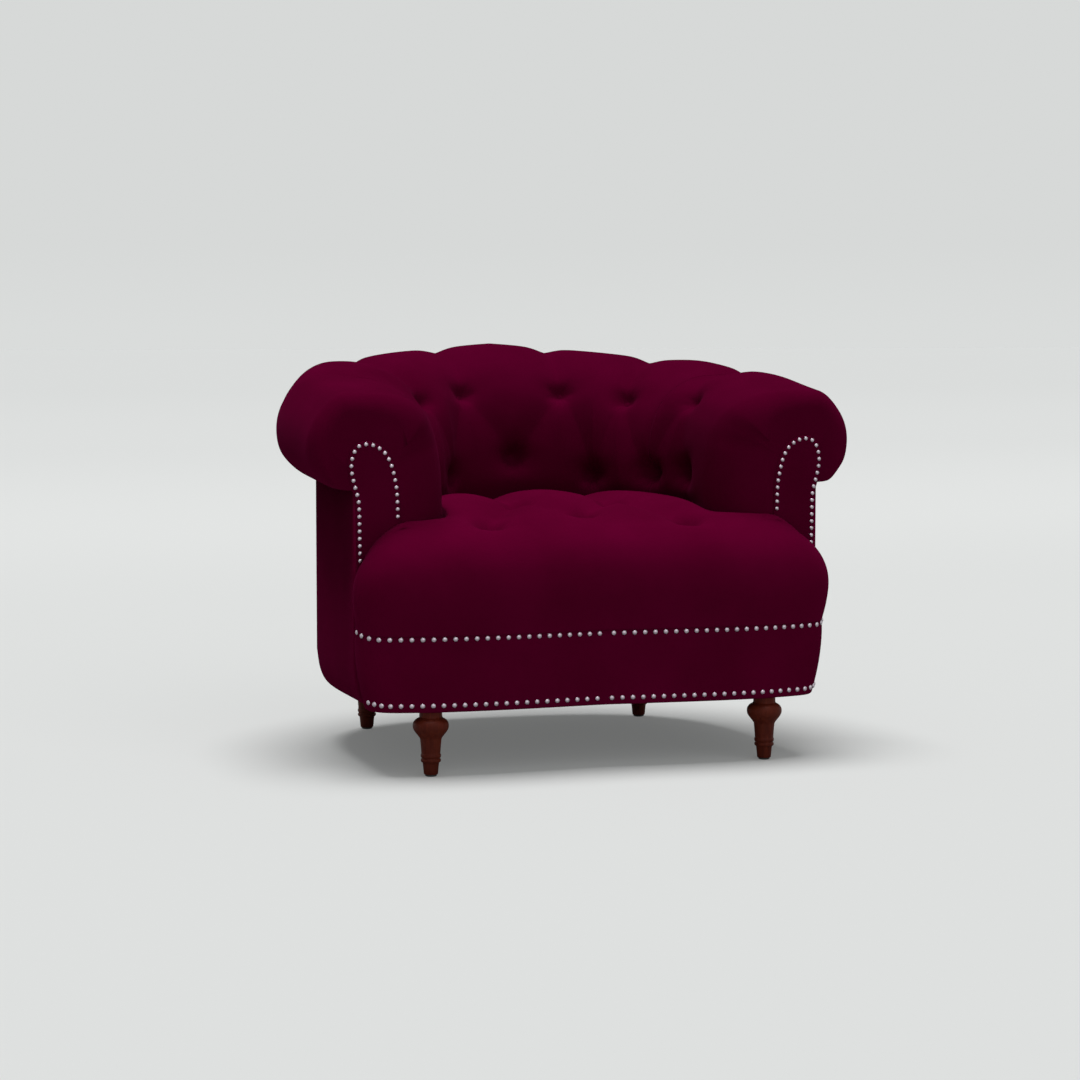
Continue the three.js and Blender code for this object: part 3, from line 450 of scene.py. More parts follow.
def catmull_rom(controls, shares):
    """Points at shares of a smooth curve through control points, which may be arrays."""
    last = len(controls) - 1
    place = np.clip(shares, 0.0, 1.0) * last
    index = np.minimum(place.astype(int), last - 1)
    local = place - index
    result = 0.0
    for shift, weight in (
        (-1, -0.5 * local + local**2 - 0.5 * local**3),
        (0, 1.0 - 2.5 * local**2 + 1.5 * local**3),
        (1, 0.5 * local + 2.0 * local**2 - 1.5 * local**3),
        (2, -0.5 * local**2 + 0.5 * local**3),
    ):
        picked = controls[np.clip(index + shift, 0, last)]
        result = result + weight.reshape(weight.shape + (1,) * (picked.ndim - 1)) * picked
    return result


def turned(name, profile, centre, steps, material):
    """A solid turned about an upright axis: its profile starts and ends on the axis."""
    points, faces = [(*centre, profile[0][1])], []
    angles = np.linspace(0.0, 2.0 * math.pi, steps, endpoint=False)
    for radius, height in profile[1:-1]:
        points += [
            (centre[0] + radius * math.cos(angle), centre[1] + radius * math.sin(angle), height)
            for angle in angles
        ]
    points.append((*centre, profile[-1][1]))
    last = len(points) - 1
    for column in range(steps):
        after = (column + 1) % steps
        faces.append((0, 1 + after, 1 + column))
        faces.append((last, last - steps + column, last - steps + after))
        for row in range(len(profile) - 3):
            start = 1 + row * steps
            faces.append((start + column, start + after, start + steps + after, start + steps + column))
    return add_object(name, np.array(points) * MM, faces, material)


mahogany, shader = wood_material(
    "mahogany_stained", (0.140, 0.0215, 0.0098, 1.0), (0.082, 0.0108, 0.0058, 1.0), 0.45, 0.00015
)
shader.inputs["Specular IOR Level"].default_value = 0.1
outline = catmull_rom(np.array(LEG_SHARES), np.linspace(0.0, 1.0, 139))
outline = outline * [LEG_BALL, LEG_TOP - LEG_FOOT] + [0.0, LEG_FOOT]
bore = [(BOLT_HOLE, LEG_TOP), (BOLT_HOLE, LEG_TOP - BOLT_DEPTH), (0.0, LEG_TOP - BOLT_DEPTH)]
for label in ("front_left", "front_right", "rear_left", "rear_right"):
    low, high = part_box("leg_" + label)
    centre = [(low[axis] + high[axis]) / 2 / MM for axis in (0, 1)]
    leg = turned("turned_leg_" + label, [(0.0, LEG_FOOT), *outline, *bore], centre, 56, mahogany)
    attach(leg, "root")
    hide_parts("leg_" + label)

# Glides: a hard black nylon disc nailed under each leg, scuffed where it slides.
scuffs = ("ShaderNodeTexNoise", 300.0, 4.0, "Fac")
scuffed_tones = (0.018, 0.018, 0.018, 1.0), (0.05, 0.05, 0.05, 1.0)
nylon, shader = mottled_material("nylon_black", scuffs, scuffs, scuffed_tones, (0.35, 0.7))
dress("glide", nylon)

# Seat: one tight cushion of foam under burgundy velvet, which spreads in front of the
# arms. Five covered buttons are pulled through it and pleats run between them. Its
# velvet has painted light: it is a lighter copy of the velvet of the back and arms.


def velvet_material(name, deep, lit):
    """Cut velvet: short matt fibres whose tips catch a faint pink light."""
    made, shader = napped_material(name, deep, lit, 7.0, 1500.0, 0.0005)
    shader.inputs["Sheen Weight"].default_value = 0.07
    shader.inputs["Sheen Roughness"].default_value = 0.4
    shader.inputs["Sheen Tint"].default_value = (0.80, 0.06, 0.27, 1.0)
    return made


velvet = velvet_material("velvet_burgundy", (0.082, 0.0003, 0.0168, 1.0), (0.099, 0.0005, 0.0212, 1.0))
# A lighter copy of the velvet whose extra brightness is painted light, standing in for more light falling on
# the seat, the front border and the outside panels.
velvet_painted_lighter = velvet_material(
    "velvet_burgundy_painted_lighter", (0.0960, 0.0004, 0.0195, 1.0), (0.1160, 0.0006, 0.0245, 1.0)
)

SHELL_X, BOW_Y, BOW_REACH, FACING_Y, PANEL_Y = 434.0, -133.0, 471.0, -301.0, -398.0
SEAT_FOOT, SEAT_WIDE, SEAT_CLEAR, SEAT_CROWN = 248.0, 315.0, 1.5, 475.0
PAD_THICK, CROWN_Y, SEAT_REAR, SHOULDER_X = 184.0, -33.0, 250.0, 352.0
SEAT_PROFILE = [
    (0.0, 0.0, -0.479),
    (0.67, 0.0, -0.243),
    (1.0, 0.0, 0.0),
    (1.0, 0.03, 0.28),
    (1.0, 0.13, 0.52),
    (1.0, 0.32, 0.725),
    (1.0, 0.62, 0.885),
    (1.0, 1.0, 1.0),
    (1.0, 1.4, 1.03),
]
FRONT_SHARES = [
    (0.0, 0.866),
    (0.138, 0.905),
    (0.276, 0.951),
    (0.415, 0.982),
    (0.553, 0.99),
    (0.691, 0.956),
    (0.795, 0.878),
    (0.876, 0.79),
    (0.936, 0.68),
    (0.974, 0.515),
    (0.994, 0.335),
    (1.0, 0.165),
    (1.0, 0.0),
]


def smooth(value):
    value = np.clip(value, 0.0, 1.0)
    return value * value * (3.0 - 2.0 * value)


def plan_table(points):
    """Stations, points and directions along a plan line, measured from its middle."""
    steps = np.linalg.norm(np.diff(points, axis=0), axis=1)
    run = np.concatenate([[0.0], np.cumsum(steps)])
    tangent = np.gradient(points, run, axis=0)
    tangent /= np.linalg.norm(tangent, axis=1)[:, None]
    return {"station": run - run[-1] / 2, "point": points, "tangent": tangent, "half": run[-1] / 2}


def plan_place(plan, station, offset, turn):
    """Points beside a plan line at stations, moved out by offsets."""
    x, y = (np.interp(station, plan["station"], plan["point"][:, axis]) for axis in (0, 1))
    along_x, along_y = (np.interp(station, plan["station"], plan["tangent"][:, axis]) for axis in (0, 1))
    return x - along_y * offset * turn, y + along_x * offset * turn


angle = np.linspace(-math.pi / 2, math.pi / 2, 3000)
BOW_POWER = 2.65
radius = np.abs(np.sin(angle) / SHELL_X) ** BOW_POWER + np.abs(np.cos(angle) / BOW_REACH) ** BOW_POWER
radius = radius ** (-1 / BOW_POWER)
bow = np.stack([radius * np.sin(angle), BOW_Y + radius * np.cos(angle)], axis=1)
left_run = np.stack([np.full(300, -SHELL_X), np.linspace(FACING_Y, BOW_Y, 300, endpoint=False)], axis=1)
shell_plan = plan_table(np.concatenate([left_run, bow, (left_run * [-1.0, 1.0])[::-1]]))
SHELL_HALF = shell_plan["half"]
ARM_END = SHELL_HALF - 4.3
END_ROUND, END_DRAW = 105.0, 100.0
ROUND_START = ARM_END - END_ROUND

right_half = np.array(FRONT_SHARES) * [SHELL_X, PANEL_Y - FACING_Y] + [0.0, FACING_Y]
front_points = np.concatenate([(right_half[1:] * [-1.0, 1.0])[::-1], right_half])
front_plan = plan_table(catmull_rom(front_points, np.linspace(0.0, 1.0, 4001)))
FRONT_HALF = front_plan["half"]


def shell_place(station, offset):
    return plan_place(shell_plan, station, offset, 1.0)


def front_place(station, offset):
    return plan_place(front_plan, station, offset, -1.0)


def pad_inside(station):
    return PAD_THICK + 55.0 * np.exp(-(((np.abs(station) - 390.0) / 230.0) ** 4))


def nearest_on_lines(points, lines):
    """Distance from each point to the nearest of some polylines."""
    least = np.full(len(points), 1e9)
    for line in lines:
        for start, end in zip(line[:-1], line[1:]):
            run = end - start
            share = np.clip((points - start) @ run / max(run @ run, 1e-9), 0.0, 1.0)
            least = np.minimum(least, np.linalg.norm(points - start - share[:, None] * run, axis=1))
    return least


seat_tufts = np.array([[-185.0, -282.0], [0.0, -240.0], [185.0, -282.0], [-92.0, -138.0], [92.0, -138.0]])
seat_pleats = [
    np.array(line)
    for line in (
        [seat_tufts[1], seat_tufts[3]],
        [seat_tufts[1], seat_tufts[4]],
        [seat_tufts[0], seat_tufts[3]],
        [seat_tufts[2], seat_tufts[4]],
        [seat_tufts[3], [-84.0, 135.0]],
        [seat_tufts[4], [84.0, 135.0]],
    )
]


def seat_top(x, y):
    ahead = np.clip((CROWN_Y - y) / 285.0, 0.0, 1.0)
    behind = np.clip((y - CROWN_Y) / (BOW_Y + BOW_REACH - PAD_THICK - CROWN_Y), 0.0, 1.0)
    beside_arms = smooth((y - FACING_Y) / 78.0)
    corner_fall = 18.0 * (np.clip(np.abs(x) - 330.0, 0.0, None) / 104.0) ** 2
    side_fall = corner_fall + (15.0 * (np.abs(x) / 246.0) ** 3 - corner_fall) * beside_arms
    return SEAT_CROWN - 43.0 * ahead**3 - 24.0 * behind**2 - side_fall


def seat_edge_round(station):
    return 8.0 + 12.0 * smooth((ARM_END - 60.0 - abs(station)) / 200.0)


def seat_side(station, inset, end_share):
    return np.stack(shell_place(station, END_DRAW * end_share - pad_inside(station) - SEAT_CLEAR - inset))


def seat_loop(columns=96, side_rows=44, end_turns=20):
    """Outer, widest and inner points round the seat, counted from the front left corner."""
    front, right, rear = [], [], []
    for column in range(columns + 1):
        share = 2.0 * column / columns - 1.0
        station = share * (FRONT_HALF - 0.9)
        bulge = -5.0 + 17.0 * smooth((FRONT_HALF - abs(station)) / 28.0)
        inner = np.array([share * SHOULDER_X, -318.0])
        front.append((np.stack(front_place(station, 0.0)), np.stack(front_place(station, bulge)), inner))
    for turn in range(end_turns, 0, -1):
        angle = turn / end_turns * math.pi / 2
        station, share = ROUND_START + END_ROUND * math.sin(angle), 1.0 - math.cos(angle)
        outer = seat_side(station, 0.0, share)
        right.append((outer, outer, seat_side(station, seat_edge_round(station), share)))
    for row in range(side_rows + 1):
        station = ROUND_START + (SEAT_REAR - ROUND_START) * row / side_rows
        outer = seat_side(station, 0.0, 0.0)
        right.append((outer, outer, seat_side(station, seat_edge_round(station), 0.0)))
    wall_y = FACING_Y - 0.9
    corner_x = right[0][0][0] - 0.3
    walls = []
    for x, inner_x in ((429.0, SHOULDER_X), (corner_x, corner_x - 0.3)):
        outer = np.array([x, wall_y])
        walls.append((outer, outer, np.array([inner_x, wall_y])))
    right = walls + right
    for column in range(1, columns):
        station = SEAT_REAR - 2.0 * SEAT_REAR * column / columns
        outer = seat_side(station, 0.0, 0.0)
        rear.append((outer, outer, seat_side(station, seat_edge_round(station), 0.0)))
    flip = np.array([-1.0, 1.0])
    left = [tuple(point * flip for point in trio) for trio in reversed(right)]
    return front, right, rear, left


def seat_rings(loop):
    """Rings up the seat's side, through its widest line and over its shoulder, with how far in each is."""
    outer, wide, inner = (np.array([trio[index] for trio in loop]) for index in range(3))
    rings, inwards = [np.column_stack([outer * 0.997, np.full(len(loop), SEAT_FOOT)])], [0.0]
    for spread, inward, upward in catmull_rom(np.array(SEAT_PROFILE), np.linspace(0.0, 7 / 8, 40)):
        plan = outer + (wide - outer) * spread + (inner - wide) * inward
        above = seat_top(*plan.T) - SEAT_WIDE if upward > 0.0 else np.full(len(loop), 140.0)
        rings.append(np.column_stack([plan, SEAT_WIDE + above * upward]))
        inwards.append(float(np.clip(inward, 0.0, 1.0)))
    return rings, inwards


def seat_mesh():
    """The seat's points and faces: rings up its side, then rows across its top."""
    front, right, rear, left = seat_loop()
    rings, inwards = seat_rings(front + right + rear + left)
    width, columns, faces = len(rings[0]), len(front) - 1, []
    for row in range(len(rings) - 1):
        for column in range(width):
            a, b = row * width + column, row * width + (column + 1) % width
            faces.append((a, b, b + width, a + width))
    faces.append(tuple(range(width - 1, -1, -1)))
    start = (len(rings) - 1) * width
    right_start = start + len(front)
    rear_start = right_start + len(right)
    left_end = start + width - 1
    rows = [[start + column for column in range(len(front))]]
    rear_in = np.array([trio[2] for trio in rear])[::-1]
    top_points, count = [], len(rings) * width
    across = np.arange(1, columns)
    for row, edge in enumerate(trio[2] for trio in right[:-1]):
        x = edge[0] * (2.0 * across / columns - 1.0)
        y = edge[1] + (rear_in[:, 1] - right[-1][2][1]) * smooth(row / len(right))
        top_points.append(np.column_stack([x, y, seat_top(x, y)]))
        rows.append([left_end - row, *range(count, count + len(across)), right_start + row])
        count += len(across)
    rear_row = [rear_start + len(rear) - 1 - column for column in range(len(rear))]
    rows.append([left_end - len(right) + 1, *rear_row, right_start + len(right) - 1])
    for near, far in zip(rows[:-1], rows[1:]):
        for column in range(columns):
            faces.append((near[column], near[column + 1], far[column + 1], far[column]))
    points = np.concatenate(rings + top_points)
    shares = np.concatenate([np.repeat(inwards, width), np.ones(len(points) - len(rings) * width)])
    points[:, 2] -= seat_sink(points[:, :2]) * shares
    return points, faces


def tuft_well(distance, angle, depth, reach):
    """How far a button draws the cloth in: a slack dish, a tight well and a ring of small gathers."""
    dish = depth * 0.5 * np.exp(-((distance / (reach * 1.3)) ** 2))
    well = depth * 0.7 * np.exp(-((distance / (reach * 0.62)) ** 2))
    gathers = 0.045 * depth * np.exp(-(((distance / reach - 0.62) / 0.36) ** 2)) * np.cos(9.0 * angle)
    return dish + well + gathers


def pleat_fold(distance, depth, reach):
    """How far a pleat draws the cloth in: a soft valley with a fold along its bottom."""
    return depth * (0.55 * np.exp(-((distance / reach) ** 2)) + 0.45 * np.exp(-distance / (reach * 0.85)))


def together(first, second):
    """The deeper of two sinks, eased where they meet."""
    return (np.maximum(first, 0.0) ** 3 + np.maximum(second, 0.0) ** 3) ** (1 / 3)


def seat_sink(plan_points):
    reach = plan_points[:, None, :] - seat_tufts[None, :, :]
    distance = np.linalg.norm(reach, axis=2)
    nearest = np.argmin(distance, axis=1)
    near = reach[np.arange(len(reach)), nearest]
    well = tuft_well(distance.min(axis=1), np.arctan2(near[:, 1], near[:, 0]), 38.0, 31.0)
    return together(well, pleat_fold(nearest_on_lines(plan_points, seat_pleats), 21.0, 38.0))


points, faces = seat_mesh()
# The seat wears the copy of the velvet painted lighter, as painted light.
seat = add_object("seat_velvet", points * MM, faces, velvet_painted_lighter)
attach(seat, "root")
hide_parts("seat_cushion")

# Back and arms: a horseshoe of stuffing under velvet that rolls over outwards. Buttons in
# two rows draw it into diamonds, and a pleat runs from each upper button over the roll.
INSIDE = [
    (-1.0, 0.0),
    (-1.0, 0.2),
    (-1.0, 0.4),
    (-0.997, 0.54),
    (-0.97, 0.65),
    (-0.908, 0.75),
    (-0.794, 0.84),
    (-0.602, 0.92),
    (-0.325, 0.98),
    (0.0, 1.0),
]
ROLL = [(0.42, 0.96), (0.77, 0.79), (0.97, 0.61), (1.03, 0.415), (0.95, 0.22), (0.71, 0.075), (0.44, 0.0)]
ARM_FULLNESS = [0.0, 0.0, 0.0, 0.002, 0.017, 0.045, 0.089, 0.143, 0.145, 0.0]
CREST_SHARE = 9.0 / 17.0


def along_shell(station):
    return np.minimum(np.abs(station) / SHELL_HALF, 1.0)


def arm_swell(station):
    return np.exp(-(((np.abs(station) - 700.0) / 120.0) ** 2))


def crest_height(station):
    swell = 5.3 * arm_swell(station) + 6.5 * np.exp(-(((np.abs(station) - 458.0) / 62.0) ** 2))
    return 746.0 - 85.0 * along_shell(station) ** 1.1 + swell


def underside_height(station):
    return 548.0 - 52.0 * along_shell(station) ** 1.2


def crest_offset(station):
    return -8.0 - 34.0 * np.exp(-(((np.abs(station) - 353.0) / 130.0) ** 2))


def pad_skin(stations, shares):
    """Offsets and heights of the stuffed skin, as arrays of (stations, shares)."""
    crest, crest_at, under = crest_height(stations), crest_offset(stations), underside_height(stations)
    inside, outside = pad_inside(stations) + crest_at, 80.0 + 4.0 * arm_swell(stations)
    arm = smooth((np.abs(stations) - 500.0) / 130.0)
    offsets = [
        crest_at + (reach - fuller * arm) * inside for (reach, rise), fuller in zip(INSIDE, ARM_FULLNESS)
    ]
    offsets += [crest_at + reach * outside for reach, rise in ROLL] + [np.zeros_like(crest)]
    heights = [SEAT_FOOT + rise * (crest - SEAT_FOOT) for reach, rise in INSIDE]
    heights += [under + rise * (crest - under) for reach, rise in ROLL] + [under]
    controls = np.stack([np.array(offsets), np.array(heights)], axis=1)
    return np.moveaxis(catmull_rom(controls, shares), 2, 0)


def skin_place(station, share):
    offset, height = pad_skin(np.array([station]), np.array([share]))[0][0]
    return np.array([*shell_place(station, offset), height])


def share_at_height(station, height):
    shares = np.linspace(0.0, CREST_SHARE, 300)
    return shares[np.argmin(np.abs(pad_skin(np.array([station]), shares)[0][:, 1] - height))]


def skin_line(first, last, count):
    stations = np.linspace(first[0], last[0], count)
    shares = np.linspace(first[1], last[1], count)
    return np.array([skin_place(station, share) for station, share in zip(stations, shares)])


TOP_TUFTS = [(119, 654), (386, 645), (662, 645)]
LOW_TUFTS = [(0, 529), (219, 494), (578, 503), (700, 506)]
CREST_PLEATS = (113, 343, 569)
top_tufts, low_tufts = (
    [(station, share_at_height(station, height)) for station, height in row] for row in (TOP_TUFTS, LOW_TUFTS)
)
tuft_places, pad_pleats, crest_pleats = [], [], []
for side in (-1, 1):
    for index, (station, share) in enumerate(top_tufts):
        here = (side * station, share)
        tuft_places.append(here)
        for low_station, low_share in low_tufts[index : index + 2]:
            pad_pleats.append(skin_line(here, (side * low_station, low_share), 9))
        over = side * CREST_PLEATS[index]
        crest_pleats.append(skin_line(here, (over, CREST_SHARE), 7))
        crest_pleats.append(skin_line((over, CREST_SHARE), (over, 1.0), 15))
    for station, share in low_tufts:
        if side < 0 or station:
            tuft_places.append((side * station, share))
            pad_pleats.append(skin_line((side * station, share), (side * station, 0.0), 7))
tuft_spots = np.array([skin_place(*place) for place in tuft_places])
tuft_depths = np.where(tuft_spots[:, 2] > 600.0, 22.0, 31.0)


def end_value(shares, inside, top, outside):
    """A size of the arm's rounded end round its skin, from its values inside, on top and outside."""
    low = inside + (top - inside) * smooth((shares - 0.3) / 0.23)
    high = top + (outside - top) * smooth((shares - 0.53) / 0.53)
    return np.where(shares < 0.53, low, high)


def end_sink(shares, distance):
    """How far the skin is drawn in near the arm's end: a quarter of an ellipse."""
    depth, length = end_value(shares, END_DRAW, 30.0, 34.0), end_value(shares, END_ROUND, 28.0, 64.0)
    near = 1.0 - np.clip(distance[:, None] / length[None, :], 0.0, 1.0)
    return depth[None, :] * (1.0 - np.sqrt(1.0 - near**2))


def pad_sink(solid, stations):
    """How far tufts and pleats draw in points of the skin."""
    reach = solid[:, None, :] - tuft_spots[None, :, :]
    distance = np.linalg.norm(reach, axis=2)
    nearest = np.argmin(distance, axis=1)
    rows = np.arange(len(reach))
    across = stations - np.array([station for station, share in tuft_places])[nearest]
    turn = np.arctan2(reach[rows, nearest, 2], across)
    well = tuft_well(distance[rows, nearest], turn, tuft_depths[nearest], 30.0)
    diamonds = pleat_fold(nearest_on_lines(solid, pad_pleats), 7.0, 30.0)
    return together(together(well, diamonds), pleat_fold(nearest_on_lines(solid, crest_pleats), 11.0, 27.0))


def pad_rings(stations, steps):
    """Rings of points round the pad: the skin drawn in at tufts, pleats and the arm's end, then its back."""
    shares = np.linspace(0.0, 1.0, steps + 1)
    skin = pad_skin(stations, shares)
    along = np.gradient(skin, axis=1)
    along /= np.linalg.norm(along, axis=2)[..., None]
    x, y = shell_place(stations[:, None], skin[..., 0])
    solid = np.stack([x, y, skin[..., 1]], axis=-1).reshape(-1, 3)
    drawn = pad_sink(solid, np.repeat(stations, steps + 1)).reshape(skin.shape[:2])
    clear = smooth((skin[..., 1] - SEAT_FOOT) / (SEAT_CROWN - SEAT_FOOT))
    open_share = smooth((1.0 - shares) * 4.0)[None, :]
    inner_face = skin[..., 0] < crest_offset(stations)[:, None]
    tuck = 10.0 * inner_face * np.exp(-(((skin[..., 1] - 444.0) / 24.0) ** 2))
    tuck *= smooth((ARM_END - np.abs(stations) - 60.0) / 160.0)[:, None]
    sink = (drawn * clear + tuck + end_sink(shares, ARM_END - np.abs(stations))) * open_share
    offset = skin[..., 0] + along[..., 1] * sink
    height = skin[..., 1] - along[..., 0] * sink
    under = underside_height(stations)
    hidden_height = np.stack([under, (under + SEAT_FOOT) / 2, np.full_like(under, SEAT_FOOT)], axis=1)
    offset = np.concatenate([offset, np.full_like(hidden_height, -27.3)], axis=1)
    height = np.concatenate([height, hidden_height], axis=1)
    x, y = shell_place(stations[:, None], offset)
    return np.stack([x, y, height], axis=-1)


def ring_object(name, rings, material):
    """A closed solid from rings of points, with a flat cap at each end."""
    count, width = rings.shape[:2]
    faces = []
    for row in range(count - 1):
        for column in range(width):
            a, b = row * width + column, row * width + (column + 1) % width
            faces.append((a, b, b + width, a + width))
    faces.append(tuple(range(width - 1, -1, -1)))
    faces.append(tuple(range((count - 1) * width, count * width)))
    return add_object(name, rings.reshape(-1, 3) * MM, faces, material)


BACK_END, ARM_START = 576.6, 577.4
back = ring_object("back_velvet", pad_rings(np.linspace(-BACK_END, BACK_END, 330), 150), velvet)
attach(back, "root")
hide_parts("back_pad")

arm_turns = np.sin(np.linspace(0.0, math.pi / 2, 41)[1:])
arm_stations = np.concatenate([np.linspace(ARM_START, ROUND_START, 70), ROUND_START + END_ROUND * arm_turns])
for side, label in ((-1, "left"), (1, "right")):
    arm = ring_object("arm_velvet_" + label, pad_rings(side * arm_stations, 150), velvet)
    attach(arm, "root")
    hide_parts("arm_pad_" + label)

# Outside panels: velvet over card and board, tacked under the roll. Their lower edge
# turns under the frame in a soft lip, and a close seam parts the back from each arm.
PANEL_FOOT, PANEL_THICK = 114.0, 8.0
PANEL_LIP = [(0.0, 2.0), (0.15, 1.0), (0.45, 0.35), (1.0, 0.0)]


def panel_rings(stations):
    """Sections of a panel: its top, its outer face, the lip that turns under and its inner face."""
    reach = 16.0 + 18.0 * smooth((np.abs(stations) - 400.0) / 160.0)
    top = underside_height(stations) - 0.3
    lip = catmull_rom(np.array(PANEL_LIP), np.linspace(0.0, 1.0, 22))
    offsets = [np.zeros_like(reach)] + [-reach * inward for inward, up in lip]
    heights = [top] + [PANEL_FOOT + reach * up for inward, up in lip]
    for inward, up in ((1.0, 0.14), (0.5, 0.85), (0.0, 1.6)):
        offsets.append(-(PANEL_THICK + (reach - PANEL_THICK) * inward))
        heights.append(PANEL_FOOT + reach * up)
    offsets.append(np.full_like(reach, -PANEL_THICK))
    heights.append(top)
    offset, height = np.stack(offsets, axis=1), np.stack(heights, axis=1)
    x, y = shell_place(stations[:, None], offset)
    return np.stack([x, y, height], axis=-1)


arm_run = np.concatenate([np.linspace(ARM_START, ROUND_START, 40), np.linspace(ROUND_START, ARM_END, 12)[1:]])
for label, stations in (
    ("back_panel", np.linspace(-BACK_END, BACK_END, 200)),
    ("arm_panel_left", -arm_run),
    ("arm_panel_right", arm_run),
):
    # The panels wear the copy of the velvet painted lighter, as painted light.
    panel = ring_object("velvet_" + label, panel_rings(stations), velvet_painted_lighter)
    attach(panel, "root")
    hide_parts("outside_" + label)

# Front border: a raked band of velvet over board round the front rail, from the seat's
# foot down to the lower edge, where it turns under.
BORDER_TOP, BORDER_THICK = 247.7, 8.0


def border_place(station, out, height):
    """A point on the border's raked face, or out from it."""
    end = smooth((np.abs(station) - 380.0) / 70.0)
    down = np.clip((BORDER_TOP - height) / (BORDER_TOP - PANEL_FOOT), 0.0, 1.0)
    bulge = 12.0 * end * down * (1.0 - down)
    return front_place(station, out + bulge - (12.6 + 5.4 * end) * down ** (1.0 + 0.5 * end))


turn = np.linspace(0.0, math.pi / 2, 7)
section = [(0.0, height) for height in np.linspace(BORDER_TOP, 125.0, 12)]
section += [(-4.0 + 4.0 * math.cos(angle), PANEL_FOOT + 4.0 - 4.0 * math.sin(angle)) for angle in turn]
section += [(-BORDER_THICK, PANEL_FOOT), (-BORDER_THICK, 180.0), (-BORDER_THICK, BORDER_TOP)]
border_stations = np.linspace(-FRONT_HALF + 0.3, FRONT_HALF - 0.3, 240)
rings = []
for station in border_stations:
    rings.append([(*border_place(station, out, height), height) for out, height in section])
# The border wears the copy of the velvet painted lighter, as painted light.
border = ring_object("velvet_front_border", np.array(rings), velvet_painted_lighter)
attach(border, "root")
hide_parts("front_border")

# Arm facings: a card covered in velvet on the front of each arm, its edge pressed soft.
# It fills the arch of nails and runs down behind the seat's corner to the lower edge,
# where it follows the lip of the outside panel.
FACING_INNER, FACING_OUTER, FACING_FOOT, FACING_TOP = 355.0, 424.0, 380.0, 576.0
ARCH_SHARES = [
    (0.01, 0.335),
    (0.03, 0.56),
    (0.09, 0.7),
    (0.19, 0.83),
    (0.36, 0.93),
    (0.6, 0.985),
    (0.81, 1.0),
    (1.0, 0.985),
    (1.13, 0.93),
    (1.2, 0.84),
    (1.19, 0.74),
    (1.11, 0.62),
    (1.04, 0.53),
    (1.01, 0.44),
    (1.0, 0.2),
    (0.985, -0.05),
]
arch_size = [FACING_OUTER - FACING_INNER, FACING_TOP - FACING_FOOT]
arch_points = np.array(ARCH_SHARES) * arch_size + [FACING_INNER, FACING_FOOT]
arch = plan_table(catmull_rom(arch_points, np.linspace(0.0, 1.0, 2001)))
ARCH_HALF = arch["half"]


def arch_place(distance, out):
    return plan_place(arch, distance - ARCH_HALF, out, 1.0)


distances = np.linspace(0.0, 2.0 * ARCH_HALF, 90)
facing_lip = np.array([(0.3, 182.0), (5.3, 148.0), (15.5, 126.0), (34.0, 117.0)])
edge_turn = np.linspace(0.0, math.pi / 2, 9)
for side, label in ((-1, "left"), (1, "right")):
    rings = []
    for inset, front in [(0.0, FACING_Y + 4.0)] + [
        (9.0 * (1.0 - math.cos(angle)), FACING_Y + 3.8 - 3.8 * math.sin(angle)) for angle in edge_turn
    ]:
        x, z = arch_place(distances, 6.0 - inset)
        x = np.concatenate([[x[0]], x, SHELL_X - facing_lip[:, 0] - inset])
        z = np.concatenate([facing_lip[-1:, 1] + inset, z, facing_lip[:, 1] + inset])
        rings.append(np.stack([side * x, np.full_like(x, front), z], axis=-1))
    facing = ring_object("velvet_arm_facing_" + label, np.array(rings), velvet)
    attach(facing, "root")
    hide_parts("arm_facing_" + label)

# Nail trim: domed nails of brushed pewter, driven at an even pitch in two rows along the
# border, whose last nails climb a little at each end, and in an arch on each arm. They
# are driven by hand, so no two sit quite alike.
NAIL_PITCH, NAIL_START, NAIL_TILT, BORDER_NAIL, ARCH_NAIL = 19.0, 13.0, 0.07, 4.5, 3.8


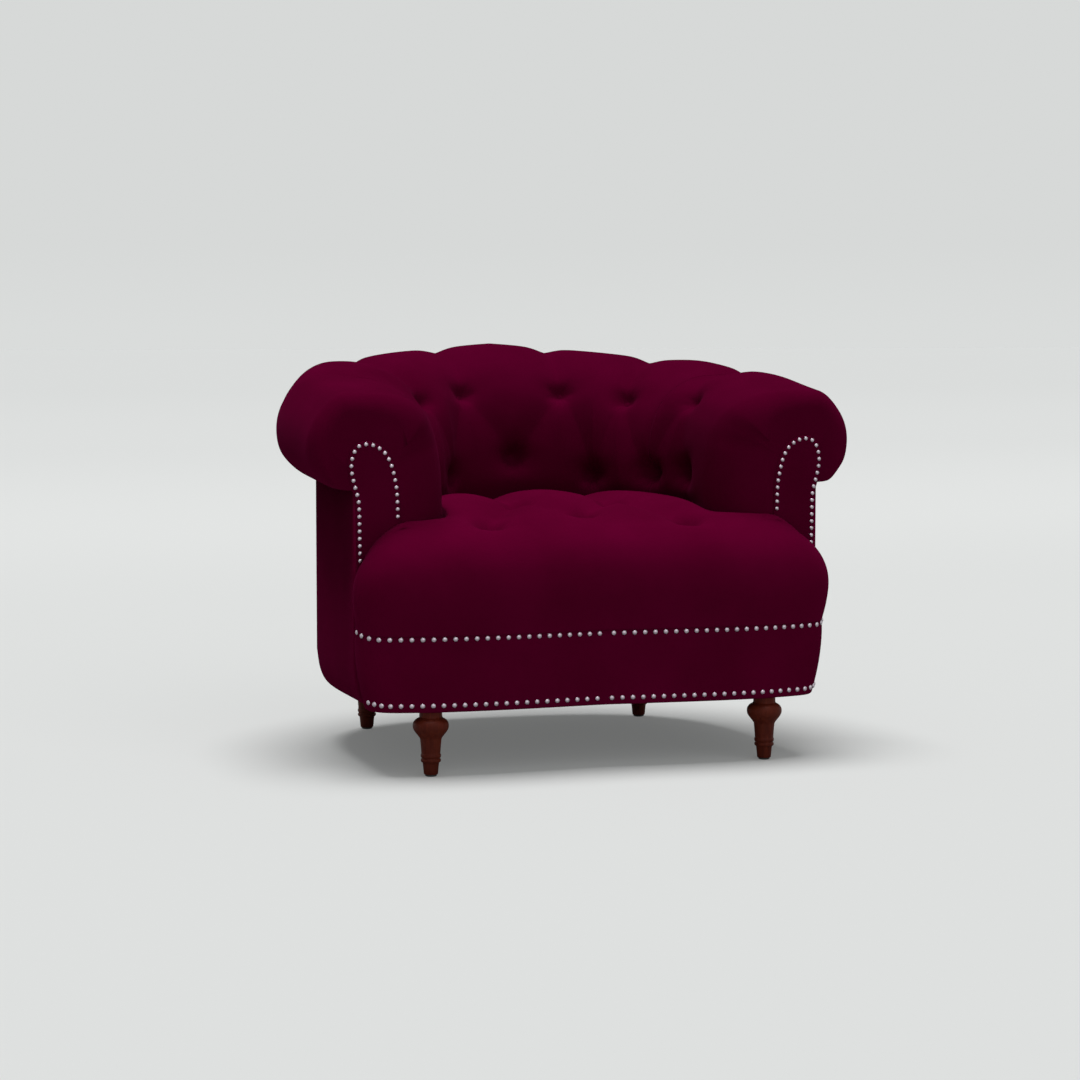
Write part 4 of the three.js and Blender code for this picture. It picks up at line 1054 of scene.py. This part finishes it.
def heads_group():
    """A domed head on every point, which faces the way that the point's outward vector says."""
    sizes = {"Radius": "Float", "Dome": "Float", "Tilt": "Float"}
    group, given, result = node_group(
        "domed_heads",
        "GeometryNodeTree",
        {"Places": "Geometry", **sizes, "Seed": "Int", "Finish": "Material"},
        {"Heads": "Geometry"},
    )
    nodes, links = group.nodes, group.links
    outward = add_node(
        nodes, "GeometryNodeInputNamedAttribute", {"Name": "outward"}, data_type="FLOAT_VECTOR"
    )
    tilt = add_node(nodes, "FunctionNodeRandomValue", data_type="FLOAT_VECTOR")
    opposite = add_node(nodes, "ShaderNodeMath", {1: -1.0}, operation="MULTIPLY")
    turned_by = nodes.new("ShaderNodeVectorMath")
    align = add_node(nodes, "FunctionNodeAlignRotationToVector", axis="Z")
    ball = add_node(nodes, "GeometryNodeMeshUVSphere", {"Segments": 18, "Rings": 10, "Radius": 1.0})
    position = nodes.new("GeometryNodeInputPosition")
    split = nodes.new("ShaderNodeSeparateXYZ")
    flat = add_node(nodes, "ShaderNodeMath", {1: -0.1}, operation="MAXIMUM")
    join = nodes.new("ShaderNodeCombineXYZ")
    size = nodes.new("ShaderNodeCombineXYZ")
    scaled = add_node(nodes, "ShaderNodeVectorMath", operation="MULTIPLY")
    shape = nodes.new("GeometryNodeSetPosition")
    shade = nodes.new("GeometryNodeSetShadeSmooth")
    dots = nodes.new("GeometryNodeMeshToPoints")
    each = nodes.new("GeometryNodeInstanceOnPoints")
    real = nodes.new("GeometryNodeRealizeInstances")
    finish = nodes.new("GeometryNodeSetMaterial")
    connect(
        links,
        (given, "Tilt", opposite, 0),
        (opposite, "Value", tilt, "Min"),
        (given, "Tilt", tilt, "Max"),
        (given, "Seed", tilt, "Seed"),
        (outward, "Attribute", turned_by, 0),
        (tilt, "Value", turned_by, 1),
        (turned_by, "Vector", align, "Vector"),
        (position, "Position", split, "Vector"),
        (split, "X", join, "X"),
        (split, "Y", join, "Y"),
        (split, "Z", flat, 0),
        (flat, "Value", join, "Z"),
        (given, "Radius", size, "X"),
        (given, "Radius", size, "Y"),
        (given, "Dome", size, "Z"),
        (join, "Vector", scaled, 0),
        (size, "Vector", scaled, 1),
        (ball, "Mesh", shape, "Geometry"),
        (scaled, "Vector", shape, "Position"),
        (shape, "Geometry", shade, "Geometry"),
        (given, "Places", dots, "Mesh"),
        (dots, "Points", each, "Points"),
        (shade, "Geometry", each, "Instance"),
        (align, "Rotation", each, "Rotation"),
        (each, "Instances", real, "Geometry"),
        (real, "Geometry", finish, "Geometry"),
        (given, "Finish", finish, "Material"),
        (finish, "Geometry", result, "Heads"),
    )
    return group


def heads_object(name, places, outward, radius, dome, tilt, seed, material):
    """Domed heads at places, as one plain mesh. Sizes are in millimetres."""
    mesh = bpy.data.meshes.new(name + "_places")
    mesh.from_pydata([tuple(place * MM) for place in np.array(places)], [], [])
    facing = mesh.attributes.new("outward", "FLOAT_VECTOR", "POINT")
    facing.data.foreach_set("vector", np.array(outward).ravel())
    source = bpy.data.objects.new(name + "_places", mesh)
    scene.collection.objects.link(source)
    modifier = source.modifiers.new("heads", "NODES")
    modifier.node_group = domed_heads
    given = {"Radius": radius * MM, "Dome": dome * MM, "Tilt": tilt, "Seed": seed, "Finish": material}
    for socket in domed_heads.interface.items_tree:
        if socket.in_out == "INPUT" and socket.name in given:
            modifier[socket.identifier] = given[socket.name]
    evaluated = source.evaluated_get(bpy.context.evaluated_depsgraph_get())
    heads = bpy.data.meshes.new_from_object(evaluated)
    bpy.data.objects.remove(source)
    heads.name = name
    made = bpy.data.objects.new(name, heads)
    scene.collection.objects.link(made)
    return made


domed_heads = heads_group()
tarnish = ("ShaderNodeTexNoise", 55.0, 3.0, "Fac")
brushing = ("ShaderNodeTexNoise", 900.0, 2.0, "Fac")
pewter_tones = (0.44, 0.38, 0.43, 1.0), (0.66, 0.58, 0.65, 1.0)
pewter, shader = mottled_material("pewter_brushed", tarnish, brushing, pewter_tones, (0.26, 0.46))
shader.inputs["Metallic"].default_value = 1.0

for label, height, count, climb in (("upper", 242.7, 25, 9.0), ("lower", 126.4, 24, 4.0)):
    half = NAIL_START + NAIL_PITCH * np.arange(count)
    stations = np.concatenate([-half[::-1], half])
    near_end = np.clip((np.abs(stations) - half[-4]) / (3.0 * NAIL_PITCH), 0.0, 1.0)
    heights = height + climb * near_end**1.6
    places = [(*border_place(station, 0.1, z), z) for station, z in zip(stations, heights)]
    nearer = [(*border_place(station, 0.0, z), z) for station, z in zip(stations, heights)]
    outward = (np.array(places) - np.array(nearer)) * 10.0
    nails = heads_object("pewter_nails_" + label, places, outward, BORDER_NAIL, 2.9, NAIL_TILT, 3, pewter)
    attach(nails, "root")
    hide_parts("nail_row_" + label)

for side, label in ((-1, "left"), (1, "right")):
    distances = np.linspace(ARCH_NAIL, 2.0 * ARCH_HALF - ARCH_NAIL, 30)
    x, z = arch_place(distances, 0.0)
    places = np.stack([side * x, np.full_like(x, FACING_Y + 0.4), z], axis=-1)
    outward = np.tile([0.0, -1.0, 0.0], (30, 1))
    nails = heads_object("pewter_arch_" + label, places, outward, ARCH_NAIL, 2.4, NAIL_TILT, 5 + side, pewter)
    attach(nails, "root")
    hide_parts("arm_nails_" + label)

# Buttons: small wooden moulds covered in the same velvet, one at the bottom of each tuft
# and drawn down by twine through the padding.
BUTTON_SIZE = (9.5, 4.5)
skin_facing = []
for station, share in tuft_places:
    before, after = skin_place(station, share - 0.004), skin_place(station, share + 0.004)
    beside = skin_place(station + 1.0, share) - skin_place(station - 1.0, share)
    facing_out = np.cross(after - before, beside)
    facing_out *= np.sign(facing_out @ (np.array([0.0, -60.0, 700.0]) - before))
    skin_facing.append(facing_out / np.linalg.norm(facing_out))
skin_facing = np.array(skin_facing)
back_spots = tuft_spots - skin_facing * (tuft_depths[:, None] * 1.2 + 2.5)
buttons = heads_object("buttons_back", back_spots, skin_facing, *BUTTON_SIZE, 0.05, 11, velvet)
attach(buttons, "root")
seat_spots = np.column_stack([seat_tufts, seat_top(*seat_tufts.T) - 48.0])
upward = np.tile([0.0, 0.0, 1.0], (5, 1))
buttons = heads_object("buttons_seat", seat_spots, upward, *BUTTON_SIZE, 0.05, 12, velvet)
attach(buttons, "root")

low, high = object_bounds()
